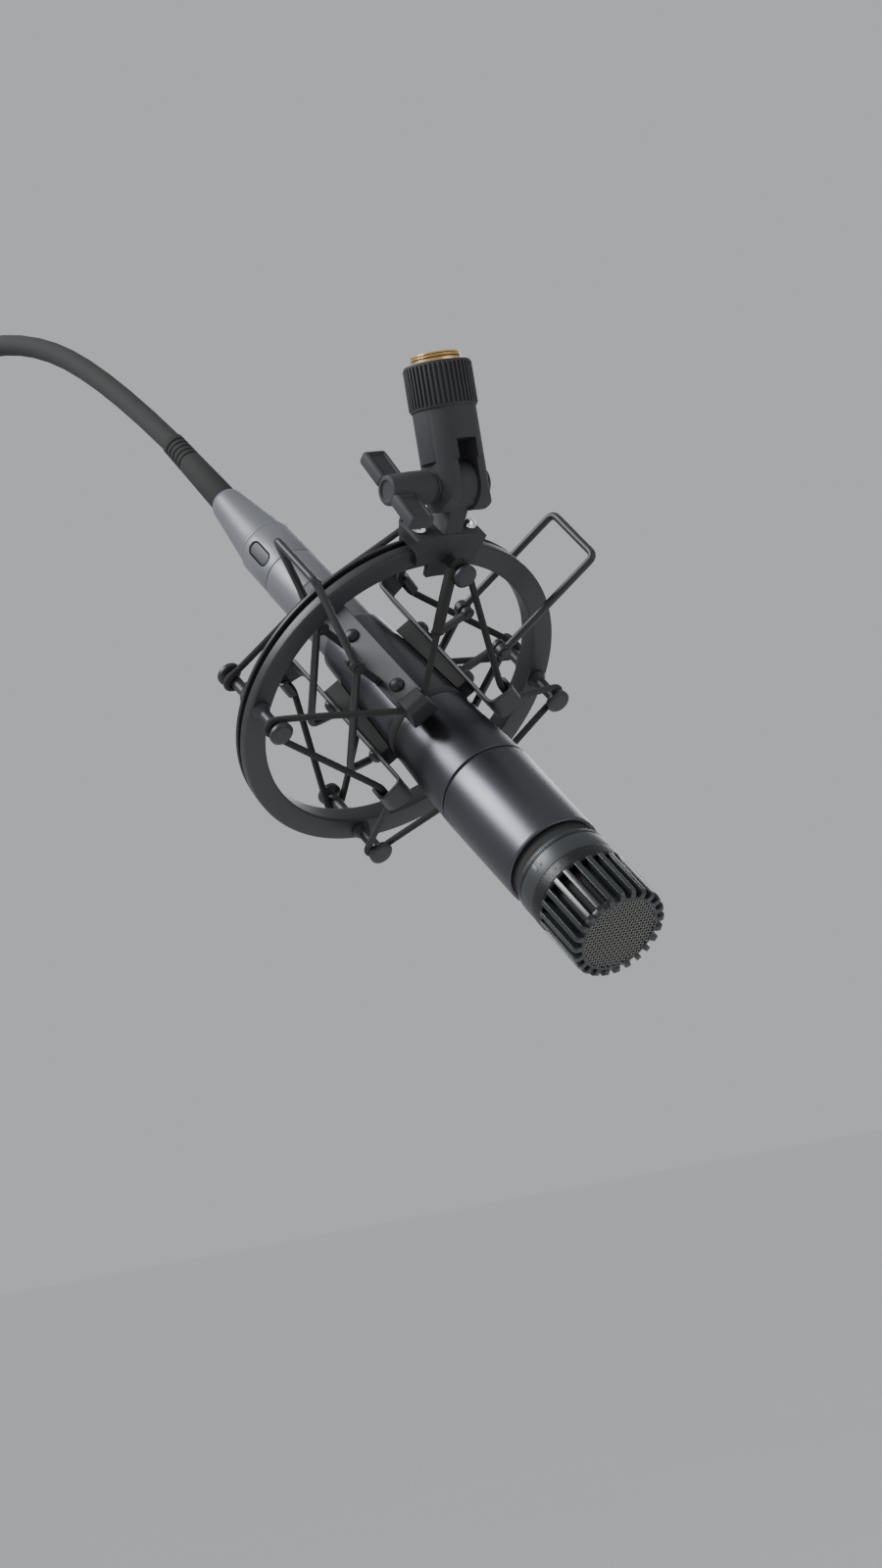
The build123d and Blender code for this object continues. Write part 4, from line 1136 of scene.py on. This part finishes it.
class MIC_OT_clip(bpy.types.Operator):
    """Makes the four hooked plates with their pads and rivets"""
    bl_idname = "mic.clip"
    bl_label = "Clip plates"

    def execute(self, context):
        s = sizes(context.scene.mic_clip)
        for name, degrees in PLATES.items():
            body = PLATE_BODY[name]
            piece(name + "_strip", moved(self.plate(s), turned_by(degrees)), body, "black_steel",
                  name + "_plate")
            kept_shape(name + "_block", name + "_pad", body, "rubber", 0.3, 2)
        for name, body, first, turns, node in (("upper_rivets", "clip", -45, 2, "upper_plate_rivets"),
                                                ("left_rivets", "lever_left", -135, 1, "lower_left_rivets"),
                                                ("right_rivets", "lever_right", 135, 1,
                                                 "lower_right_rivets")):
            rivet = slid(self.rivet(s), 0, s.plate_radius, s.rivet_first)
            mesh = repeated(rivet, "black_steel", rows=2, step=(0, 0, s.rivet_step), turns=turns, first=first,
                            turn=90)
            piece(name, mesh, body, "black_steel", node)
        kept_shape("lugs", "hinge_lugs", "clip", "black_steel", 0.25, 2)
        low, high = s.lug_place - s.lug_thickness / 2 - 0.3, s.leg_place + 2.0
        pin = [(0, low), (1.2, low, 0.3), (1.2, high - 0.4), (1.9, high - 0.4, 0.2), (1.9, high, 0.3), (0,
                                                                                                        high)]
        pins = []
        for side in (-1, 1):
            for face in (-1, 1):
                turn = Matrix.Rotation(math.radians(90 - 90 * face), 4, "X")
                pins.append(moved(lathe(pin, 0.15, 32), Matrix.Translation((side * HINGE[0], HINGE[1],
                                                                            0)) @ turn))
        piece("pins", joined(*pins), "clip", "black_steel", "hinge_pins")
        return {"FINISHED"}

    def plate(self, s):
        """A plate with both ends bent into hooks, on the stem's side."""
        middle = s.plate_radius + s.plate_thickness / 2
        end = s.plate_half - s.plate_thickness / 2
        top = s.tab_radius - s.plate_thickness / 2
        lip = s.plate_half - s.tab_back + s.plate_thickness / 2
        half = [(middle, end), (top, end), (top, lip), (top - 2.1, lip)]
        corners = [(y, -z) for y, z in reversed(half)] + half
        bends = filleted([(0, y, z) for y, z in corners], [0.9, 2.2, 2.8, 2.8, 2.2, 0.9], 6)
        path = []
        for p in bends:
            rise = min(max((p.y - s.plate_radius - 3) / 5, 0), 1)
            path.append((p.y, p.z, s.plate_width - 2 * rise))
        return strip(path, s.plate_thickness, 0.28)

    def rivet(self, s):
        """A domed rivet standing on the plate."""
        low = s.plate_thickness + 0.02
        dome = lathe([(0, -0.8), (1.25, -0.8), (1.25, low), (2.4, low, 0.2), (2.3, low + 0.7, 0.6),
                      (1.5, low + 1.6, 1.0), (0.6, low + 1.9, 0.8), (0, low + 1.9)], 0.1, 40, 4)
        return moved(dome, Matrix.Rotation(math.radians(-90), 4, "X"))


class MIC_OT_handles(bpy.types.Operator):
    """Bends the two wire handles and gives them their eyes"""
    bl_idname = "mic.handles"
    bl_label = "Handles"

    def execute(self, context):
        s = sizes(context.scene.mic_clip)
        for side, name in ((-1, "left"), (1, "right")):
            leg = [(side * x, y) for x, y in HANDLE_ROUTE]
            points = [(x, y, s.leg_place) for x, y in leg] + [(x, y, -s.leg_place) for x, y in reversed(leg)]
            path = spaced(filleted(points, HANDLE_BENDS, 8), 1.0)
            eyes = [slid(lathe([(1.28, -1.45), (2.5, -1.45, 0.5), (2.5, 1.45, 0.5), (1.28, 1.45)], 0.15, 40),
                         side * HINGE[0], HINGE[1], z) for z in (s.leg_place, -s.leg_place)]
            wire = self.with_round_ends(tube(path, s.wire_radius, 20), s)
            piece(name + "_handle", joined(wire, *eyes), "lever_" + name, "black_steel",
                  name + "_handle_wire")
        return {"FINISHED"}

    def with_round_ends(self, wire, s):
        """A wire with its cut ends rounded off."""
        rims = [e for f in wire.faces if len(f.verts) > 4 for e in f.edges]
        return bevelled(wire, rims, 0.35, 3)


# ---- elastic ----
def braid_relief(s):
    """The radius of the elastic with its braid in relief."""
    threads = 6

    def radius(along, turn):
        phase = 2 * math.pi * along / s.braid
        high = max(math.sin(threads * turn + phase), math.sin(threads * turn - phase))
        return s.radius * (0.95 + 0.05 * high)
    return radius


class MIC_OT_elastic(bpy.types.Operator):
    """Winds the braided elastic from the posts to the plates' hooks"""
    bl_idname = "mic.elastic"
    bl_label = "Elastic"

    def execute(self, context):
        s = sizes(context.scene.mic_elastic)
        ring = sizes(context.scene.mic_ring)
        replaced = {1: "front_elastic", -1: "rear_elastic"}
        for face, face_name in ((1, "front"), (-1, "rear")):
            for plate, degrees in PLATES.items():
                for turn, turn_name in ((-1, "a"), (1, "b")):
                    name = f"elastic_{face_name}_{plate}_{turn_name}"
                    path = spaced(self.strand(s, ring, degrees, turn, face), 0.4)
                    node = replaced.pop(face, None)
                    self.stretch(name, path, s, PLATE_BODY[plate], [node] if node else [])
        self.sleeve(s, ring)
        return {"FINISHED"}

    def strand(self, s, ring, degrees, turn, face):
        """One strand's path, from the far side of its post, over the post and into the plate's hook."""
        to_plate = turned_by(degrees)
        across = (turn * 0.5, turn * 3.3, turn * 4.9)
        hook = [to_plate @ Vector((across[0], s.hook_radius, face * s.hook_place)),
                to_plate @ Vector((across[1], s.hook_radius, face * s.hook_place)),
                to_plate @ Vector((across[2], s.hook_radius + 0.3, face * (s.hook_place - 0.7)))]
        centre = turned_by(degrees + 45 * turn) @ Vector((0, ring.post_circle, face * s.loop_height))
        wrap = ring.post_radius + s.radius
        outward = Vector((centre.x, centre.y, 0)).normalized()
        inward = hook[2] - centre
        inward.z = 0
        inward.normalize()
        side = Vector((-inward.y, inward.x, 0))
        # The elastic passes the post on the side that faces away from the neighbouring strand.
        side *= -1 if side.dot(to_plate @ Vector((0, 1, 0))) < 0 else 1
        rim = [centre + outward * wrap, centre + (outward + side).normalized() * wrap * 1.06,
               centre + side * wrap + inward * 0.6]
        return softened(rim + list(reversed(hook)), 4)

    def stretch(self, name, path, s, body, nodes):
        """A strand that stretches between the ring and the clip; one to a lever is parted at its middle."""
        relief = braid_relief(s)
        if body == "clip":
            obj = piece(name, tube(path, relief, 24), None, "elastic", *nodes)
            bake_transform(obj)
            return
        half = len(path) // 2
        outer = piece(name + "_outer", tube(path[:half + 1], relief, 24), None, "elastic", *nodes)
        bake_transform(outer)
        inner = piece(name + "_inner", tube(path[half:], relief, 24), None, "elastic")
        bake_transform(inner)

    def sleeve(self, s, ring):
        """The rubber sleeve over one strand."""
        path = spaced(self.strand(s, ring, PLATES["upper_left"], 1, 1), 0.5)
        covered = path[8:50]
        last = len(covered) * 0.5

        def radius(along, turn):
            lip = 0.25 if along < 1.0 or along > last - 1.6 else 0.0
            return 2.0 + lip - 0.012 * along
        obj = piece("sleeve", tube(covered, radius, 32), None, "rubber", "elastic_sleeve")
        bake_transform(obj)


# ---- head ----
def back(distance):
    """The place along the ring's frame, in millimetres, this far behind the microphone's front face."""
    return sizes(bpy.context.scene.mic_head).front - distance


def behind(corners, radius, segments):
    """A lathe shape on the microphone, its corners measured back from the front face."""
    return lathe([(out, back(place), *own) for out, place, *own in corners], radius, segments)


class MIC_OT_head(bpy.types.Operator):
    """Makes the slotted cage, woven disc, foam, label band and knurled ring"""
    bl_idname = "mic.head"
    bl_label = "Head"

    def execute(self, context):
        s = sizes(context.scene.mic_head)
        rib = self.rib(s)
        ribs = repeated(rib, "cage", turns=s.ribs, turn=360 / s.ribs)
        hoop = behind([(12.35, 0.3, 0.3), (13.4, 0.45, 0.4), (13.6, 2.8, 0.3), (12.35, 2.8, 0.3)],
                      0.3, 144)
        piece("cage", joined(from_mesh(ribs), hoop), "head", "cage", "grille_cage")
        base = behind([(13.2, 19.2), (s.radius - 0.25, 19.2, 0.5), (s.radius - 0.02, 20.2, 0.4),
                       (s.radius - 0.02, 24.3, 0.25), (13.2, 24.3)], 0.2, 144)
        piece("head_ring", base, "head", "cage", finish="pebbled")
        mesh = grown("Woven wire", woven_tree, Radius=s.mesh_radius, Pitch=s.mesh_pitch, Wire=s.mesh_wire,
                     Finish=material("mesh"))
        woven = slid(from_mesh(mesh), 0, 0, back(0.75))
        piece("woven_disc", woven, "head", "mesh", "grille_mesh")
        lining = behind([(0, 2.2), (12.9, 2.2, 1.0), (12.95, 19), (11.6, 19), (11.6, 3.6),
                         (0, 3.6)], 0.2, 96)
        piece("foam_lining", lining, "head", "foam", "grille_foam")
        band = behind([(13.2, 24.32), (15.85, 24.32, 0.2), (15.85, 30.5, 0.25), (13.2, 30.5)],
                      0.15, 144)
        piece("band", band, "head", "band", "label_band")
        tick = block((-0.45, 15.7, back(29.9)), (0.45, 16.0, back(27.3)), 0.12, 2)
        piece("band_ticks", repeated(tick, "ticks", turns=2, first=292, turn=8), "head", "band",
              finish="ticks")
        self.knurl(s)
        return {"FINISHED"}

    def rib(self, s):
        """A rib of the cage: flat outside, its front end rounded down to the hoop."""
        half = s.rib_width / 2
        bm = bmesh.new()
        outline = eased([(13.0, back(0.5)), (13.6, back(0.1), 0.4), (15.2, back(0.1), 0.5), (16.0, back(1.0),
                                                                                             0.9),
                         (16.0, back(19.8)), (13.0, back(19.8))], 0.1, 5)
        sides = []
        for x in (-half, half):
            sides.append([bm.verts.new((x, p.x, p.y)) for p in outline])
        bm.faces.new(sides[0])
        bm.faces.new(sides[1][::-1])
        count = len(outline)
        for k in range(count):
            nxt = (k + 1) % count
            bm.faces.new((sides[0][k], sides[1][k], sides[1][nxt], sides[0][nxt]))
        faced_out(bm)
        long_edges = [e for e in bm.edges if abs(e.verts[0].co.x - e.verts[1].co.x) < 1e-6]
        return bevelled(bm, long_edges, 0.16, 3)

    def knurl(self, s):
        """The finely ridged ring behind the label band."""
        core = behind([(13.2, 30.52), (15.2, 30.52), (15.2, 32.6), (13.2, 32.6)], 0.15, 144)
        ridge = block((-0.17, 15.0, back(32.55)), (0.17, 15.75, back(30.6)), 0.1, 2)
        ridges = repeated(ridge, "band", turns=s.knurls, turn=360 / s.knurls)
        piece("knurls", joined(core, from_mesh(ridges)), "head", "band", "knurled_ring")


# ---- housing ----
SEAM, MIC_END = 76.0, 157.0
TAIL_RADIUS = 11.5


def handle_radius(distance):
    """The rear handle's radius at a distance behind the front face."""
    wide = sizes(bpy.context.scene.mic_head).radius
    return wide + (TAIL_RADIUS - wide) * (distance - SEAM) / (MIC_END - SEAM)


class MIC_OT_housing(bpy.types.Operator):
    """Turns the housing tubes with their rubber seam and band"""
    bl_idname = "mic.housing"
    bl_label = "Housing"

    def execute(self, context):
        s = sizes(context.scene.mic_head)
        neck = behind([(12.7, 33.0), (14.6, 33.0, 0.2), (14.6, 37.5), (12.7, 37.5)], 0.1, 128)
        piece("neck", neck, "clip", "rubber", "cartridge_collar")
        front = behind([(14.0, 37), (s.radius - 0.1, 37, 0.5), (s.radius, 38.2, 0.4),
                        (s.radius, 75.6, 0.35), (14.3, 75.6)], 0.3, 160)
        piece("front_tube", front, "clip", "enamel", "front_housing")
        seam = behind([(14.4, 75.5), (15.5, 75.5), (15.5, 76.5), (14.4, 76.5)], 0.3, 128)
        piece("seam_ring", seam, "clip", "rubber", "seam_o_ring")
        self.handle()
        band = behind([(handle_radius(111.4) - 0.4, 108.1), (handle_radius(108) + 0.05, 108.1, 0.5),
                       (handle_radius(111.4) + 0.12, 111.35, 0.5), (handle_radius(111.4) - 0.4, 111.35)],
                      0.3, 128)
        piece("grip_band", band, "clip", "rubber", "handle_band")
        return {"FINISHED"}

    def handle(self):
        """The long tapered tube, with a groove for its rubber band and a lock screw near its end."""
        start, end = SEAM + 0.4, MIC_END
        corners = [(14.3, back(start)), (handle_radius(start), back(start), 0.35),
                   (handle_radius(108), back(108), 0.25), (handle_radius(108) - 0.45, back(108), 0.1),
                   (handle_radius(111.4) - 0.45, back(111.4), 0.1), (handle_radius(111.4), back(111.4), 0.25),
                   (handle_radius(end), back(end - 0.8), 0.6), (handle_radius(end) - 0.5, back(end), 0.3),
                   (8.05, back(end), 0.2), (8.05, back(137)), (8.0, back(137)), (14.0, back(90))]
        piece("rear_tube", lathe(corners, 0.2, 160), "clip", "enamel", "rear_handle")
        screw = lathe([(0, -1.4), (1.3, -1.4), (1.3, 0.1, 0.2), (0.75, 0.25), (0.75, -0.5), (0, -0.5)], 0.1,
                      32)
        place = RING @ Matrix.Translation(Vector((0, -handle_radius(148), back(148))) * MM)
        place = place @ Matrix.Rotation(math.radians(90), 4, "X")
        piece("lock_screw", screw, "clip", "black_steel", "insert_screw", place=place)


class MIC_OT_plug(bpy.types.Operator):
    """Makes the cable's plug on the microphone"""
    bl_idname = "mic.plug"
    bl_label = "Plug"

    def execute(self, context):
        kept_shape("plug_body", "plug_shell", "clip", "plug_metal", 0.3, corner=35)
        kept_shape("latch_button", "plug_latch", "latch", "plug_metal", 0.25, finish="black_steel")
        start, end = MIC_END + 56, MIC_END + 84
        corners = [(4.3, back(start) + 2), (6.8, back(start) + 2), (6.8, back(start) - 0.02),
                   (9.4, back(start) - 0.05, 0.5), (8.9, back(start) - 2.2, 1.2)]
        corners += [(8.9 - 3.2 * k / 6, back(start) - 2.2 - 23.5 * k / 6, 8.0) for k in range(1, 6)]
        corners += [(5.6, back(end) + 1.4, 0.8), (5.1, back(end) + 0.6, 0.4), (5.0, back(end), 0.3), (4.3,
                    back(end))]
        piece("plug_boot", lathe(corners, 0.25, 96), "clip", "plug_metal", "plug_bushing")
        return {"FINISHED"}


# ---- inside pieces that keep their CAD shape ----
CARRIED = {
    "cartridge_shell": "inner_metal", "diaphragm": "insert", "voice_coil": "winding",
    "pole_piece": "inner_metal",
    "magnet": "inner_metal", "cartridge_isolator": "rubber", "transformer": "winding", "xlr_insert": "insert",
    "xlr_pins": "contact", "plug_contacts": "insert",
}


class MIC_OT_inside(bpy.types.Operator):
    """Gives the inside pieces that keep their CAD shape their finishes"""
    bl_idname = "mic.inside"
    bl_label = "Inside pieces"

    def execute(self, context):
        for node, finish in CARRIED.items():
            obj = frame["nodes"][node]
            for place in obj.material_slots:
                place.link = "OBJECT"
                place.material = material(finish)
        return {"FINISHED"}


class MIC_PT_panel(bpy.types.Panel):
    """Lists the steps that build the microphone"""
    bl_idname = "MIC_PT_panel"
    bl_label = "Microphone"
    bl_space_type = "VIEW_3D"
    bl_region_type = "UI"
    bl_category = "Microphone"

    def draw(self, context):
        for step in STEPS:
            self.layout.operator(step.bl_idname)
        for name, group in SETTINGS.items():
            box = self.layout.box()
            box.label(text=name.replace("mic_", "").capitalize())
            for prop in group.__annotations__:
                box.prop(getattr(context.scene, name), prop)


STEPS = (MIC_OT_stage, MIC_OT_cable, MIC_OT_stem, MIC_OT_wing, MIC_OT_ring, MIC_OT_clip, MIC_OT_handles,
         MIC_OT_elastic, MIC_OT_head, MIC_OT_housing, MIC_OT_plug, MIC_OT_inside)
SETTINGS = {
    "mic_stage": MicStageSettings, "mic_stem": MicStemSettings, "mic_wing": MicWingSettings,
    "mic_ring": MicRingSettings,
    "mic_clip": MicClipSettings, "mic_elastic": MicElasticSettings, "mic_head": MicHeadSettings,
    "mic_cable": MicCableSettings, "mic_colours": MicColourSettings,
}


def register():
    for name, group in SETTINGS.items():
        bpy.utils.register_class(group)
        setattr(bpy.types.Scene, name, bpy.props.PointerProperty(type=group))
    for step in STEPS:
        bpy.utils.register_class(step)
    bpy.utils.register_class(MIC_PT_panel)


def unregister():
    bpy.utils.unregister_class(MIC_PT_panel)
    for step in reversed(STEPS):
        bpy.utils.unregister_class(step)
    for name, group in reversed(SETTINGS.items()):
        delattr(bpy.types.Scene, name)
        bpy.utils.unregister_class(group)


def main():
    register()
    for step in STEPS:
        family, name = step.bl_idname.split(".")
        getattr(getattr(bpy.ops, family), name)()


if __name__ == "__main__":
    main()
